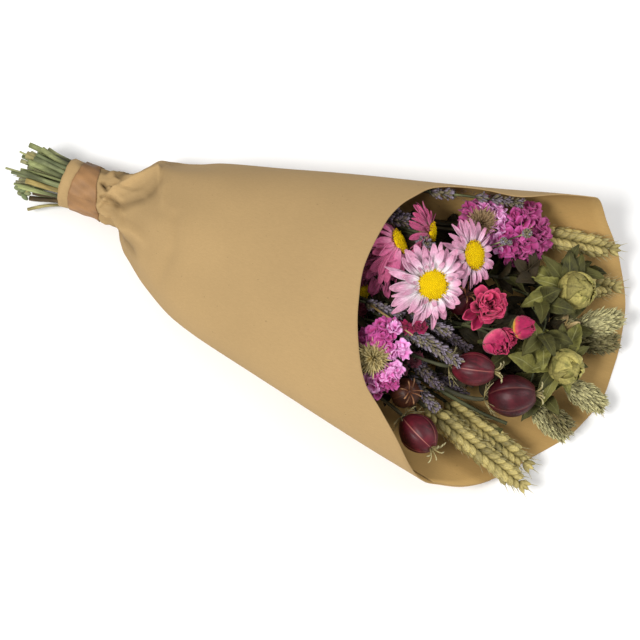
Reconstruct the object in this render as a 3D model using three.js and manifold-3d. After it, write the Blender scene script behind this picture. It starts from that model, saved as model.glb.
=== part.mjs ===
import * as THREE from 'three';
import { mergeVertices } from 'three/addons/utils/BufferGeometryUtils.js';
import Module from 'manifold-3d';

const wasm = await Module();
wasm.setup();

// A dried flower bouquet lying on its paper wrap. Millimetres, +Z up. X runs from the stem
// ends to the mouth of the wrap, and X = 0 is the middle of the tape on the neck.

// Wrap: [x, half width, middle y, half height, centre z, paper thickness, pleat depth]
const WRAP_SECTIONS = [
  [-18.5, 17.6, 0, 17.6, 22.0, 3.4, 0.7],
  [-10.5, 16.8, 0, 16.8, 22.0, 2.6, 0.15],
  [10.5, 16.8, 0, 16.8, 22.0, 2.6, 0.15],
  [18, 18.2, 0.3, 18.0, 22.0, 2.6, 1.0],
  [30, 22.0, 1.2, 20.5, 22.0, 2.0, 1.4],
  [45, 34.3, -1.2, 25.5, 23.0, 1.4, 1.3],
  [66, 45.7, -8.0, 32.0, 29.0, 0.9, 0.9],
  [97, 57.7, -14.9, 40.0, 37.2, 0.9, 0.5],
  [138, 68.2, -17.8, 46.0, 42.8, 0.9, 0.2],
  [186, 80.2, -19.0, 51.0, 47.4, 0.9, 0],
  [230, 90.6, -19.4, 54.0, 50.2, 0.9, 0],
  [280, 102.1, -19.9, 57.0, 53.0, 0.9, 0],
  [325, 113.2, -19.9, 58.8, 54.7, 0.9, 0],
  [390, 127.0, -19.9, 61.4, 57.1, 0.9, 0],
];
const WRAP_SIDES = 32;
const PLEATS = 8;
const BODY_RINGS = 10;
const MOUTH_STEPS = 4;

// Cut edge of the mouth: [degrees round the section from the far side over the top, x]
const FAR_CORNER = 13;
const MOUTH_EDGE = [
  [13, 335.5], [42, 223.5], [53, 218], [66, 213.6], [88, 211], [106, 216], [126, 227],
  [138, 237], [146, 250.5], [160, 269.5], [184, 287.5], [200, 298], [214, 316], [226, 331],
  [244, 353], [260, 376], [275, 386], [285, 386], [301, 382], [321, 367], [345, 347],
  [373, 335.5],
];

const NECK = new THREE.Vector3(0, 0, 22);
const TAPE = { inner: 17.35, outer: 18.05, from: -10, to: 9.5, sides: 24 };
const TWINE = { ring: 12.45, thick: 0.9, turns: 2, sides: 16 };

const STEM_RADIUS = 1.45;
const STEM_SIDES = 4;
const STEM_PITCH = 3.2;
const STEM_FLARE = 1.75;
const STEM_ENDS = [-52, -31];
const STEM_GAP = 0.75;
const STATIONS = [40, 78, 116, 152, 184, 210, 236, 262, 288, 314, 340];
const LAST_STRETCH = 26;
const NECK_END = 18;
const SEED = 17;
const PETAL_THICK = 0.8;
const ORIGIN = new THREE.Vector2();

// Heads: at is the middle of a bloom, or the foot of a spike, and face is the way it looks
const DAISIES = [
  {
    name: 'daisy_1', at: [255, -12, 92], face: [0.4, -0.23, 0.88],
    reach: 26, disc: 9.3, lift: 4, rings: [13, 8],
  },
  {
    name: 'daisy_2', at: [273, 21, 80], face: [0.74, 0.08, 0.67],
    reach: 23, disc: 9.6, lift: -14, rings: [12, 7],
  },
  {
    name: 'daisy_3', at: [224, 14, 77], face: [0.72, 0.52, 0.46],
    reach: 25, disc: 8.6, lift: -48, rings: [10, 6],
  },
  {
    name: 'daisy_4', at: [241, 31, 70], face: [0.95, 0.21, 0.22],
    reach: 21, disc: 6.4, lift: -36, rings: [10, 6],
  },
  {
    name: 'daisy_5', at: [216, -26.5, 55.5], face: [0.25, -0.7, 0.66],
    reach: 18, disc: 6.5, lift: 4, rings: [10, 5],
  },
];
const STATICE = [
  { name: 'statice_1', at: [239, -68, 80], face: [-0.1, -0.47, 0.88], reach: 15.5, tall: 1.6, tuft: 6 },
  { name: 'statice_2', at: [271, 52, 58], face: [0.05, -0.12, 0.98], reach: 14.5, tall: 1.1, tuft: 5.8 },
  { name: 'statice_3', at: [303, 57, 54], face: [0.63, -0.27, 0.73], reach: 14, tall: 1.2, tuft: 4 },
];
const LAVENDER = [
  { name: 'lavender_1', at: [251, -40, 73], to: [286, -48.5, 71], reach: 4.4, whorls: 6 },
  { name: 'lavender_2', at: [254, -45, 40], to: [275, -58, 43.5], reach: 4.0, whorls: 5 },
  { name: 'lavender_3', at: [236, -29, 70], to: [274, -31.5, 73], reach: 4.0, whorls: 6 },
  { name: 'lavender_4', at: [230.5, 56.5, 66.5], to: [288.5, 71, 66.5], reach: 4.2, whorls: 7 },
  { name: 'lavender_5', at: [275, -49, 32], to: [296, -53, 25], reach: 4.0, whorls: 4 },
  { name: 'lavender_6', at: [205, 36, 66], to: [229, 33, 73], reach: 4.6, whorls: 4 },
];
const NIGELLA = [
  { name: 'nigella_1', at: [297, -46, 60], face: [0.97, 0.18, 0.1], reach: 11, tall: 27 },
  { name: 'nigella_2', at: [326, -49, 42], face: [0.91, 0.38, 0.17], reach: 14, tall: 31 },
  { name: 'nigella_3', at: [277, -96, 49], face: [0.83, -0.51, 0.22], reach: 12, tall: 27 },
  { name: 'nigella_4', at: [260, -73, 48], face: [0.3, -0.1, 0.95], reach: 10, tall: 20 },
  { name: 'nigella_5', at: [275.5, -3, 56], face: [0.3, 0.3, 0.9], reach: 8.5, tall: 18 },
];
const ROSES = [
  { name: 'rose_1', at: [293, -4, 69], face: [0.29, -0.07, 0.95], reach: 10.5, open: 0.2, petals: 6 },
  { name: 'rose_2', at: [307, -25, 62], face: [0.57, -0.53, 0.62], reach: 8.6, open: 0.03, petals: 5 },
  { name: 'rose_3', at: [321, -7, 58], face: [0.83, 0.23, 0.51], reach: 7.2, open: 0.03, petals: 4 },
  { name: 'rose_4', at: [315, -20, 46], face: [0.7, -0.1, 0.7], reach: 5.2, open: 0.1, petals: 4 },
];
const ROSE_FORK = { at: [280, -14, 44], face: [0.95, 0, 0.3] };
const WHEAT = [
  { name: 'wheat_1', at: [276, -72, 28], to: [356, -99, 19] },
  { name: 'wheat_2', at: [287, -60, 15], to: [355, -84, 16] },
  { name: 'wheat_3', at: [293, 68, 32], to: [364, 77, 33] },
  { name: 'wheat_4', at: [316, 40, 20], to: [374, 57, 21] },
];
const SAFFLOWER = [
  { name: 'safflower_1', at: [346, 35, 46], face: [0.55, -0.1, 0.83], reach: 12.5, leaves: 4 },
  { name: 'safflower_2', at: [355, -18, 42], face: [0.56, -0.31, 0.77], reach: 11.5, leaves: 4 },
];
const PHALARIS = [
  { name: 'phalaris_1', at: [358, 22, 18], to: [379, 41, 26], reach: 9.5 },
  { name: 'phalaris_2', at: [352, 8, 14], to: [380, 14, 15], reach: 9 },
  { name: 'phalaris_3', at: [364, -18, 16], to: [387, -28, 14], reach: 8.5 },
  { name: 'phalaris_4', at: [342, -39, 14], to: [368, -56, 13], reach: 8.5 },
];
const FOLIAGE = [
  { name: 'foliage_1', at: [318, 4, 32], face: [0.9, 0.05, 0.44], leaves: 4, leaf: 23 },
  { name: 'foliage_2', at: [303, 30, 42], face: [0.85, 0.2, 0.5], leaves: 4, leaf: 24 },
  { name: 'foliage_3', at: [329, -64, 29], face: [1, 0, -0.05], leaves: 0, leaf: 0 },
];

const finish = (color, roughness) => new THREE.MeshStandardMaterial({ color, roughness, metalness: 0 });
const MATERIALS = {
  paper: finish(0xc9aa79, 0.85),
  tape: finish(0xb18a62, 0.45),
  twine: finish(0xc8b48a, 0.9),
  daisy: finish(0xe6a9c6, 0.8),
  disc: finish(0xe8c400, 0.9),
  stem: finish(0x8f9663, 0.85),
  statice: finish(0xc756a6, 0.8),
  straw: finish(0xb9a262, 0.85),
  lavender: finish(0x77708c, 0.95),
  nigella: finish(0x6b2733, 0.6),
  rose: finish(0xd32d66, 0.75),
  wheat: finish(0xb9b284, 0.8),
  safflower: finish(0xb4b45c, 0.75),
  leaf: finish(0x6f7b40, 0.8),
  phalaris: finish(0x96966c, 0.9),
};

function randomFrom(seed) {
  let state = seed;
  return () => {
    state = (state * 1664525 + 1013904223) % 4294967296;
    return state / 4294967296;
  };
}
const random = randomFrom(SEED);
const between = (low, high) => low + (high - low) * random();
const vector = (list) => new THREE.Vector3(...list);

// Linear reading of a table whose first column rises
function readTable(table, value, column) {
  const last = table.length - 1;
  let row = table.findIndex((entry) => entry[0] >= value);
  row = row < 0 ? last : Math.max(row, 1);
  const [before, after] = [table[row - 1], table[row]];
  const share = Math.min(Math.max((value - before[0]) / (after[0] - before[0]), 0), 1);
  return before[column] + (after[column] - before[column]) * share;
}

// A closed solid from a geometry, with its faces turned outward
function solid(geometry) {
  const bare = geometry.clone();
  bare.deleteAttribute('normal');
  bare.deleteAttribute('uv');
  const merged = mergeVertices(bare, 1e-4);
  const { array } = merged.attributes.position;
  const corner = (i) => new THREE.Vector3().fromArray(array, 3 * i);
  const triangles = [];
  let volume = 0;
  for (let i = 0; i < merged.index.count; i += 3) {
    const [a, b, c] = [0, 1, 2].map((k) => merged.index.getX(i + k));
    if (a === b || b === c || c === a) continue;
    triangles.push([a, b, c]);
    volume += corner(a).dot(corner(b).cross(corner(c)));
  }
  const outward = volume > 0 ? triangles : triangles.map(([a, b, c]) => [a, c, b]);
  return new wasm.Manifold(new wasm.Mesh({
    numProp: 3,
    vertProperties: Float32Array.from(array),
    triVerts: Uint32Array.from(outward.flat()),
  }));
}

const fuse = (geometries) => geometries.map(solid).reduce((whole, next) => whole.add(next));

function piece(name, geometries, material) {
  const { vertProperties, triVerts } = fuse(geometries).getMesh();
  const geometry = new THREE.BufferGeometry();
  geometry.setAttribute('position', new THREE.BufferAttribute(new Float32Array(vertProperties), 3));
  geometry.setIndex(new THREE.BufferAttribute(new Uint32Array(triVerts), 1));
  geometry.computeVertexNormals();
  const mesh = new THREE.Mesh(geometry, material);
  mesh.name = name;
  return mesh;
}

// Moves every corner of a geometry by a rule
function reshape(geometry, rule) {
  const { position } = geometry.attributes;
  const corner = new THREE.Vector3();
  for (let i = 0; i < position.count; i += 1) {
    rule(corner.fromBufferAttribute(position, i), i);
    position.setXYZ(i, corner.x, corner.y, corner.z);
  }
  return geometry;
}

// Turns +Z to a direction, with a spin about it, and moves to a place
function facing(at, face, spin = 0) {
  const axis = vector(face).normalize();
  const turn = new THREE.Quaternion().setFromUnitVectors(new THREE.Vector3(0, 0, 1), axis);
  turn.multiply(new THREE.Quaternion().setFromAxisAngle(new THREE.Vector3(0, 0, 1), spin));
  return new THREE.Matrix4().compose(vector(at), turn, new THREE.Vector3(1, 1, 1));
}

// A body of revolution about +Z from [radius, height] pairs
function turned(profile, sides) {
  const points = profile.map(([radius, height]) => new THREE.Vector2(radius, height));
  return new THREE.LatheGeometry(points, sides).rotateX(Math.PI / 2);
}

// A turned body with scales, grains or buds: each corner's radius is scaled by column and ring
function embossed(profile, sides, relief) {
  return reshape(turned(profile, sides), (v, i) => {
    const grow = relief(Math.floor(i / profile.length) % sides, i % profile.length);
    v.x *= grow;
    v.y *= grow;
  });
}

// Spikes that stand out round an axis like a star
function star(count, reach, low, high, depth) {
  return embossed([[0, low], [reach, high], [0, high + 1.4]], 2 * count, (column) => (
    column % 2 === 0 ? 1 : depth));
}

// A thin plate cut into petals or leaves round a flat middle, and lifted outside the middle
function frill({ count, root, outline, lift, height, wave, curl = 0, spin }) {
  const corners = [];
  for (let i = 0; i < count; i += 1) {
    const azimuth = (2 * Math.PI * i) / count;
    const stretch = between(0.92, 1);
    corners.push(new THREE.Vector2(root, 0).rotateAround(ORIGIN, azimuth - Math.PI / count));
    for (const [along, across] of outline) {
      corners.push(new THREE.Vector2(root + along * stretch, across).rotateAround(ORIGIN, azimuth));
    }
  }
  const rise = THREE.MathUtils.degToRad(lift);
  const thick = PETAL_THICK / Math.cos(Math.min(Math.abs(rise), 0.6));
  const plate = new THREE.ExtrudeGeometry(new THREE.Shape(corners), { depth: thick, bevelEnabled: false });
  const length = Math.max(...outline.map(([along]) => along));
  return reshape(plate, (v) => {
    const [radius, angle] = [Math.hypot(v.x, v.y), Math.atan2(v.y, v.x)];
    const beyond = Math.max(radius - root, 0);
    const share = beyond / length;
    const out = Math.min(radius, root) + beyond * Math.cos(rise);
    const bend = curl * length * share ** 2 + wave * share * Math.sin(count * angle);
    const z = v.z - thick / 2 + height + beyond * Math.sin(rise) + bend;
    v.set(out * Math.cos(angle), out * Math.sin(angle), z);
  }).rotateZ(spin);
}

// A flat blade along +X from [x, y] pairs, curled upward toward its tip
function blade(outline, thickness, curl = 0) {
  const shape = new THREE.Shape(outline.map(([x, y]) => new THREE.Vector2(x, y)));
  const geometry = new THREE.ExtrudeGeometry(shape, { depth: thickness, bevelEnabled: false });
  const length = Math.max(...outline.map(([x]) => x));
  return reshape(geometry, (v) => {
    v.z += curl * length * (Math.max(v.x, 0) / length) ** 2 - thickness / 2;
  });
}

// Puts a piece that points along +X on a ring about +Z, raised by an angle
function onRing(geometry, radius, height, lift, azimuth) {
  geometry.rotateY(THREE.MathUtils.degToRad(-lift));
  return geometry.translate(radius, 0, height).rotateZ(azimuth);
}

// A curve that passes its rings exactly at the given points
class Route extends THREE.CatmullRomCurve3 {
  getPointAt(share, target) {
    return this.getPoint(share, target);
  }

  getTangentAt(share, target) {
    return this.getTangent(share, target);
  }
}

function polygon(radius, sides) {
  const corners = [];
  for (let i = 0; i < sides; i += 1) {
    const angle = (2 * Math.PI * i) / sides;
    corners.push(new THREE.Vector2(radius * Math.cos(angle), radius * Math.sin(angle)));
  }
  return new THREE.Shape(corners);
}

function tube(points, radius = STEM_RADIUS, sides = STEM_SIDES) {
  return new THREE.ExtrudeGeometry(polygon(radius, sides), {
    steps: points.length - 1,
    bevelEnabled: false,
    extrudePath: new Route(points),
  });
}

// The wrap's section at x, and a point on its outer or inner face
function wrapSection(x) {
  const [halfWidth, middle, halfHeight, centre, paper, pleat] = [1, 2, 3, 4, 5, 6]
    .map((column) => readTable(WRAP_SECTIONS, x, column));
  return { halfWidth, middle, halfHeight, centre, paper, pleat };
}

function wrapPoint(x, degrees, inner) {
  const s = wrapSection(x);
  const angle = THREE.MathUtils.degToRad(degrees);
  const pleat = s.pleat * Math.cos(PLEATS * THREE.MathUtils.degToRad(degrees - FAR_CORNER));
  const inset = (inner ? s.paper : 0) - (inner ? 0 : pleat);
  const z = s.centre + (s.halfHeight - inset) * Math.sin(angle);
  return [x, s.middle + (s.halfWidth - inset) * Math.cos(angle), Math.max(z, inner ? s.paper : 0)];
}

function wrapX(ring, degrees) {
  if (ring < BODY_RINGS) return WRAP_SECTIONS[ring][0];
  const start = WRAP_SECTIONS[BODY_RINGS - 1][0];
  const share = (ring - BODY_RINGS + 1) / MOUTH_STEPS;
  const turn = ((degrees - FAR_CORNER) % 360 + 360) % 360;
  return start + (readTable(MOUTH_EDGE, turn + FAR_CORNER, 1) - start) * share;
}

// A sleeve with two faces, whose rings are then moved to the sections
function makeWrap() {
  const rings = BODY_RINGS + MOUTH_STEPS;
  const order = [...Array(rings).keys()];
  const profile = [...order.map((ring) => [2, ring]), ...order.reverse().map((ring) => [1, ring]), [2, 0]];
  const sleeve = turned(profile, WRAP_SIDES);
  return reshape(sleeve, (v) => {
    const degrees = Math.round(THREE.MathUtils.radToDeg(Math.atan2(v.y, v.x))) + FAR_CORNER;
    const inner = Math.hypot(v.x, v.y) < 1.5;
    v.set(...wrapPoint(wrapX(Math.round(v.z), degrees), degrees, inner));
  });
}

function makeTape() {
  const { inner, outer, from, to, sides } = TAPE;
  const ring = turned([[inner, from], [outer, from], [outer, to], [inner, to], [inner, from]], sides);
  return ring.rotateY(Math.PI / 2).translate(NECK.x, NECK.y, NECK.z);
}

// Turns of twine side by side round the stems, inside the paper neck
function makeTwine() {
  const { ring, thick, turns, sides } = TWINE;
  const profile = [];
  for (let i = 0; i < turns; i += 1) {
    const middle = (i - (turns - 1) / 2) * 2 * thick;
    profile.push([ring + 0.55 * thick, middle - 0.8 * thick], [ring + thick, middle]);
  }
  profile.push([ring + 0.55 * thick, turns * thick], [ring - 0.8 * thick, turns * thick]);
  profile.push([ring - 0.8 * thick, -turns * thick], profile[0]);
  return turned(profile, sides).rotateY(Math.PI / 2).translate(NECK.x, NECK.y, NECK.z);
}

// Places in the neck for the stems, on a hexagonal lattice
function neckSlots() {
  const slots = [];
  for (let row = -3; row <= 3; row += 1) {
    const count = 7 - Math.abs(row);
    for (let i = 0; i < count; i += 1) {
      slots.push([(i - (count - 1) / 2) * STEM_PITCH, row * STEM_PITCH * Math.sqrt(0.75)]);
    }
  }
  return slots.sort((a, b) => Math.hypot(...a) - Math.hypot(...b));
}

// Gives each stem the slot that lies on its own side, by swapping while that helps
function assignSlots(stems) {
  const slots = neckSlots().slice(0, stems.length);
  const slopes = stems.map(({ aim }) => [aim.y / aim.x, (aim.z - NECK.z) / aim.x]);
  const mean = [0, 1].map((k) => slopes.reduce((sum, slope) => sum + slope[k], 0) / slopes.length);
  const pull = (i, slot) => slot[0] * (slopes[i][0] - mean[0]) + slot[1] * (slopes[i][1] - mean[1]);
  for (let pass = 0; pass < 40; pass += 1) {
    for (let i = 0; i < stems.length; i += 1) {
      for (let j = 0; j < i; j += 1) {
        if (pull(i, slots[j]) + pull(j, slots[i]) > pull(i, slots[i]) + pull(j, slots[j]) + 1e-9) {
          [slots[i], slots[j]] = [slots[j], slots[i]];
        }
      }
    }
  }
  stems.forEach((stem, i) => { stem.slot = slots[i]; });
}

// First course of each stem: straight from the end of the neck to the point behind its head
function layStems(stems) {
  for (const stem of stems) {
    const start = new THREE.Vector3(NECK_END, stem.slot[0], NECK.z + stem.slot[1]);
    stem.stations = [];
    for (const x of STATIONS.filter((station) => station <= stem.base.x - LAST_STRETCH)) {
      const share = (x - start.x) / (stem.aim.x - start.x);
      stem.stations.push(start.clone().lerp(stem.aim, share));
    }
    stem.start = start;
  }
}

// Pushes a point on a stem out of a round body that stands along its axis
function clearBody(point, body, radius) {
  const away = point.clone().sub(body.centre);
  const along = away.dot(body.axis);
  const side = away.clone().addScaledVector(body.axis, -along);
  const [high, wide] = [body.half + radius + STEM_GAP, body.reach + radius + STEM_GAP];
  const measure = (along / high) ** 4 + (side.length() / wide) ** 4;
  if (measure >= 1) return;
  const push = body.axis.clone().multiplyScalar((along / high) ** 3 / high);
  push.addScaledVector(side.clone().normalize(), (side.length() / wide) ** 3 / wide);
  push.x = 0;
  if (push.lengthSq() < 1e-12) push.z = -1;
  point.addScaledVector(push.normalize(), 0.5 * (1.02 - measure) * Math.min(high, wide) * 0.4);
}

function clearPair(a, b, apart) {
  const between2 = b.clone().sub(a);
  between2.x = 0;
  const distance = between2.length();
  if (distance >= apart) return;
  between2.multiplyScalar((0.5 * (apart - distance)) / Math.max(distance, 0.01));
  a.sub(between2);
  b.add(between2);
}

// Keeps a point on a stem inside the paper
function clearWrap(point) {
  const s = wrapSection(point.x);
  const room = s.paper + s.pleat + STEM_RADIUS + STEM_GAP;
  const dy = (point.y - s.middle) / (s.halfWidth - room);
  const dz = (point.z - s.centre) / (s.halfHeight - room);
  const out = Math.hypot(dy, dz);
  if (out > 1) {
    point.y = s.middle + (dy / out) * (s.halfWidth - room);
    point.z = s.centre + (dz / out) * (s.halfHeight - room);
  }
  point.z = Math.max(point.z, s.paper + STEM_RADIUS + STEM_GAP);
}

function middleOf(stem, k) {
  const before = k === 0 ? stem.start : stem.stations[k - 1];
  return before.clone().add(stem.stations[k]).multiplyScalar(0.5);
}

// Lets the stems settle beside each other, clear of the heads and of the paper
function settleStems(stems, bodies) {
  const apart = 2 * STEM_RADIUS + STEM_GAP;
  const passes = 360;
  for (let pass = 0; pass < passes; pass += 1) {
    const ease = pass < passes - 60 ? 0.12 : 0.02;
    for (const stem of stems) {
      const { stations } = stem;
      for (let k = 0; k < stations.length; k += 1) {
        const before = k === 0 ? stem.start : stations[k - 1];
        const after = k + 1 < stations.length ? stations[k + 1] : stem.aim;
        const share = (stations[k].x - before.x) / (after.x - before.x);
        stations[k].lerp(before.clone().lerp(after, share), ease);
        for (const body of bodies) {
          if (body.stem === stem) continue;
          clearBody(stations[k], body, STEM_RADIUS);
          const middle = middleOf(stem, k);
          const moved = middle.clone();
          clearBody(moved, body, STEM_RADIUS);
          stations[k].add(moved.sub(middle));
        }
        clearWrap(stations[k]);
      }
    }
    for (let i = 0; i < stems.length; i += 1) {
      for (let j = 0; j < i; j += 1) {
        const shared = Math.min(stems[i].stations.length, stems[j].stations.length);
        for (let k = 0; k < shared; k += 1) {
          clearPair(stems[i].stations[k], stems[j].stations[k], apart);
          const [a, b] = [middleOf(stems[i], k), middleOf(stems[j], k)];
          const [movedA, movedB] = [a.clone(), b.clone()];
          clearPair(movedA, movedB, apart);
          stems[i].stations[k].add(movedA.sub(a));
          stems[j].stations[k].add(movedB.sub(b));
        }
      }
    }
  }
}

// The last stretch curves from the settled course to the back of the head
function headBend(stem) {
  const last = stem.stations[stem.stations.length - 1];
  const before = stem.stations[stem.stations.length - 2];
  const run = 0.38 * last.distanceTo(stem.base);
  const heading = last.clone().sub(before).normalize();
  const curve = new THREE.CubicBezierCurve3(
    last,
    last.clone().addScaledVector(heading, run),
    stem.base.clone().addScaledVector(stem.axis, -run),
    stem.base,
  );
  return curve.getPoints(3).slice(1);
}

function stemPoints(stem) {
  const [y, z] = stem.slot;
  const end = new THREE.Vector3(stem.end, y * STEM_FLARE, NECK.z + z * STEM_FLARE);
  const inNeck = [-NECK_END, NECK_END].map((x) => new THREE.Vector3(x, y, NECK.z + z));
  return [end, ...inNeck, ...stem.stations, ...headBend(stem)];
}

// How a stem reaches a head: where it enters and how far behind the head it turns
function plantStem(head, depth, bend) {
  const axis = vector(head.face).normalize();
  const base = vector(head.at).addScaledVector(axis, -depth);
  const aim = base.clone().addScaledVector(axis, -bend);
  head.stem = { name: head.name, axis, base, aim, end: between(...STEM_ENDS) };
  return head.stem;
}

function bodyOf(head, low, high, reach) {
  const axis = vector(head.face).normalize();
  const centre = vector(head.at).addScaledVector(axis, (low + high) / 2);
  return { axis, centre, half: (high - low) / 2, reach, stem: head.stem };
}

function daisyPetals({ reach, disc, lift, rings }) {
  const root = 0.8 * disc;
  return rings.map((count, ring) => {
    const length = (reach - root) * (ring === 0 ? 1 : 0.78);
    const half = 0.135 * reach;
    return frill({
      count,
      root,
      outline: [[0.62 * length, -half], [length, 0], [0.62 * length, half]],
      lift: lift + 14 * ring,
      height: -1.55 + 0.7 * ring,
      wave: 0.6,
      spin: 0.3 * ring,
    });
  });
}

function daisyDisc({ disc }) {
  const button = turned(
    [[0, 0], [0.86 * disc, 0], [disc, 1.1], [0.8 * disc, 2.5], [0, 3.2]], 14);
  return reshape(button, (v) => {
    const ripple = v.z > 0.1 ? 1 + 0.02 * Math.cos(7 * Math.atan2(v.y, v.x) + v.z) : 1;
    v.x *= ripple;
    v.y *= ripple;
  });
}

const daisyCup = ({ disc }) => turned([[0, -8], [1.9, -7.4], [0.56 * disc, -2.35], [0, -2.35]], 6);

// Papery ruffled petals in three layers, open in the middle for the stem
function staticeCluster({ reach, tall }) {
  const profile = [
    [2.3, -4.5], [0.95 * reach, -3.4], [0.5 * reach, -1.8], [0.82 * reach, 2.2],
    [0.42 * reach, 1.2], [0.6 * reach, 5.6], [2.3, -0.8], [2.3, -4.5],
  ];
  const tips = [1, 3, 5];
  const cluster = embossed(profile, 16, (column, ring) => {
    const petal = (column + tips.indexOf(ring)) % 2 === 0;
    return !tips.includes(ring) || petal ? 1 : 0.66;
  });
  return [reshape(cluster, (v) => {
    const radius = Math.hypot(v.x, v.y);
    v.z += 0.07 * radius * Math.sin(5 * Math.atan2(v.y, v.x));
    if (radius > 3) v.y *= tall;
  })];
}

// Straw-coloured bracts that stand in the middle of a cluster, on the end of its stem
const bractTuft = ({ tuft }) => [
  turned([[0, -7.5], [1.4, -7.5], [1.4, -0.2], [0.5 * tuft, 1.8], [0, 5]], 6),
  star(6, tuft, 1.2, 5, 0.35),
  star(5, 0.7 * tuft, 2.6, 7, 0.35).rotateZ(0.4),
];

// Whorls of buds on one spike: every second column and ring stands out
function lavenderSpike({ reach, whorls, length }) {
  const profile = [[0, -1]];
  for (let ring = 0; ring < whorls; ring += 1) {
    const foot = (length * ring) / whorls;
    profile.push([reach, foot + 0.72 * (length / whorls)], [0.9 * reach, foot + (0.95 * length) / whorls]);
  }
  profile.push([0, length]);
  const spike = embossed(profile, 8, (column, ring) => {
    const whorl = Math.ceil(ring / 2);
    const bud = (column + 2 * whorl) % 2 === 0;
    if (ring % 2 === 0) return 0.34;
    return bud ? 1 : 0.55;
  });
  return [spike];
}

// A seed pod with raised seams and five horns on its crown
function nigellaPod({ reach, tall }) {
  const profile = [[0, -0.5], [0.62, -0.42], [0.98, -0.12], [0.94, 0.18], [0.5, 0.42], [0, 0.48]]
    .map(([r, h]) => [r * reach, h * tall]);
  const pod = embossed(profile, 10, (column) => (column % 2 === 0 ? 1.02 : 0.9));
  return [pod, star(5, 6.2, 0.4 * tall, 0.5 * tall + 3, 0.22)];
}

// A cup with five thread bracts behind a pod
function nigellaBracts({ tall }) {
  const cup = embossed([[0, -5], [1.7, -5], [11, -2.8], [0, -0.4]], 10, (column, ring) => (
    ring === 2 && column % 2 === 1 ? 0.2 : 1));
  return [cup.translate(0, 0, -0.5 * tall)];
}

// A petal or scale that hugs a round body: its outline is wrapped about the axis
function hugging(outline, radius, low, high, lean) {
  const shape = new THREE.Shape(outline.map(([u, w]) => new THREE.Vector2(u, w)));
  const geometry = new THREE.ExtrudeGeometry(shape, { depth: 1, bevelEnabled: false });
  return reshape(geometry, (v) => {
    const height = low + (high - low) * v.y;
    const rise = Math.sin(Math.PI * Math.min(0.18 + 0.52 * v.y, 0.72));
    const out = radius * (rise + lean * v.y) + 0.8 * (v.z - 0.5);
    v.set(out * Math.cos(v.x), out * Math.sin(v.x), height);
  });
}

const ROSE_PETAL = [[-0.42, 0], [-0.6, 0.7], [0, 1.02], [0.6, 0.7], [0.42, 0]];
const SCALE = [[-0.34, 0], [-0.5, 0.45], [0, 1.02], [0.5, 0.45], [0.34, 0]];

// Outer petals round a ruffled heart
function roseBloom({ reach, open, petals }) {
  const profile = [[0, -0.9], [0.6, -0.7], [0.62, 0.1], [0.56, 0.8], [0.3, 0.55], [0, 0.5]]
    .map(([r, h]) => [r * reach, h * reach]);
  const parts = [embossed(profile, 8, (column, ring) => ((column + ring) % 2 === 0 ? 1 : 0.8))];
  for (let i = 0; i < petals; i += 1) {
    const layer = i % 2;
    const petal = hugging(ROSE_PETAL, reach * (0.88 + 0.12 * layer), -0.7 * reach,
      reach * (0.94 - 0.12 * layer), open);
    parts.push(petal.rotateZ((2 * Math.PI * i) / petals));
  }
  return parts;
}

const roseCalyx = ({ reach }) => turned([[0, -5], [1.4, -5], [0.42 * reach, -1.2], [0, -0.4]], 6)
  .translate(0, 0, -0.9 * reach);

// Plump spikelets in alternating rows along one ear, with short awns at its tip
function wheatEar({ length }) {
  const steps = 17;
  const profile = [[0, -2]];
  for (let ring = 0; ring < steps; ring += 1) {
    const taper = ring < 2 || ring > steps - 3 ? 0.72 : 1;
    profile.push([6.2 * taper, ((length - 8) * ring) / (steps - 1)]);
  }
  profile.push([0, length - 4]);
  const ear = embossed(profile, 8, (column, ring) => {
    if (column % 2 === 1) return 0.62;
    return (column / 2 + ring) % 2 === 0 ? 1 : 0.5;
  });
  return [ear, star(4, 4.5, length - 12, length - 1, 0.3)];
}

// A bud with raised scales in a ring of broad outer scales
function safflowerHead({ reach }) {
  const profile = [[0, -0.92], [0.66, -0.78], [0.8, -0.2], [0.74, 0.3], [0.5, 0.7], [0, 0.84]]
    .map(([r, h]) => [r * reach, h * reach]);
  const parts = [embossed(profile, 10, (column, ring) => ((column + ring) % 2 === 0 ? 1.04 : 0.88))];
  for (let i = 0; i < 5; i += 1) {
    const scale = hugging(SCALE, reach, -0.7 * reach, 0.6 * reach, 0.03);
    parts.push(scale.rotateZ((2 * Math.PI * i) / 5));
  }
  return parts;
}

// A leaf with a toothed, waved edge
function leaf(length, width) {
  const outline = [
    [-0.6, -0.7], [0.28 * length, -0.38 * width], [0.45 * length, -0.5 * width],
    [0.62 * length, -0.3 * width], [length, 0], [0.66 * length, 0.34 * width],
    [0.5 * length, 0.48 * width], [0.3 * length, 0.36 * width], [-0.6, 0.7],
  ];
  const flat = blade(outline, 0.7, 0.1);
  return reshape(flat, (v) => {
    v.z += 0.05 * width * Math.sin((9 * v.x) / length) * Math.sign(v.y);
  });
}

// Leaves with toothed edges round the stem behind a head, in two rows
function leafCollar(count, height, length) {
  const half = 0.22 * length;
  const outline = [
    [0.3 * length, -0.8 * half], [0.46 * length, -half], [0.58 * length, -0.6 * half], [length, 0],
    [0.6 * length, 0.66 * half], [0.48 * length, half], [0.3 * length, 0.75 * half],
  ];
  return [0, 1].map((ring) => frill({
    count: count - ring,
    root: 2.2,
    outline: outline.map(([along, across]) => [along * (1 - 0.12 * ring), across]),
    lift: 20 - 18 * ring,
    height: height - 1.4 * ring,
    wave: 1.6,
    curl: 0.06,
    spin: 0.5 + 0.9 * ring,
  }));
}

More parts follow.
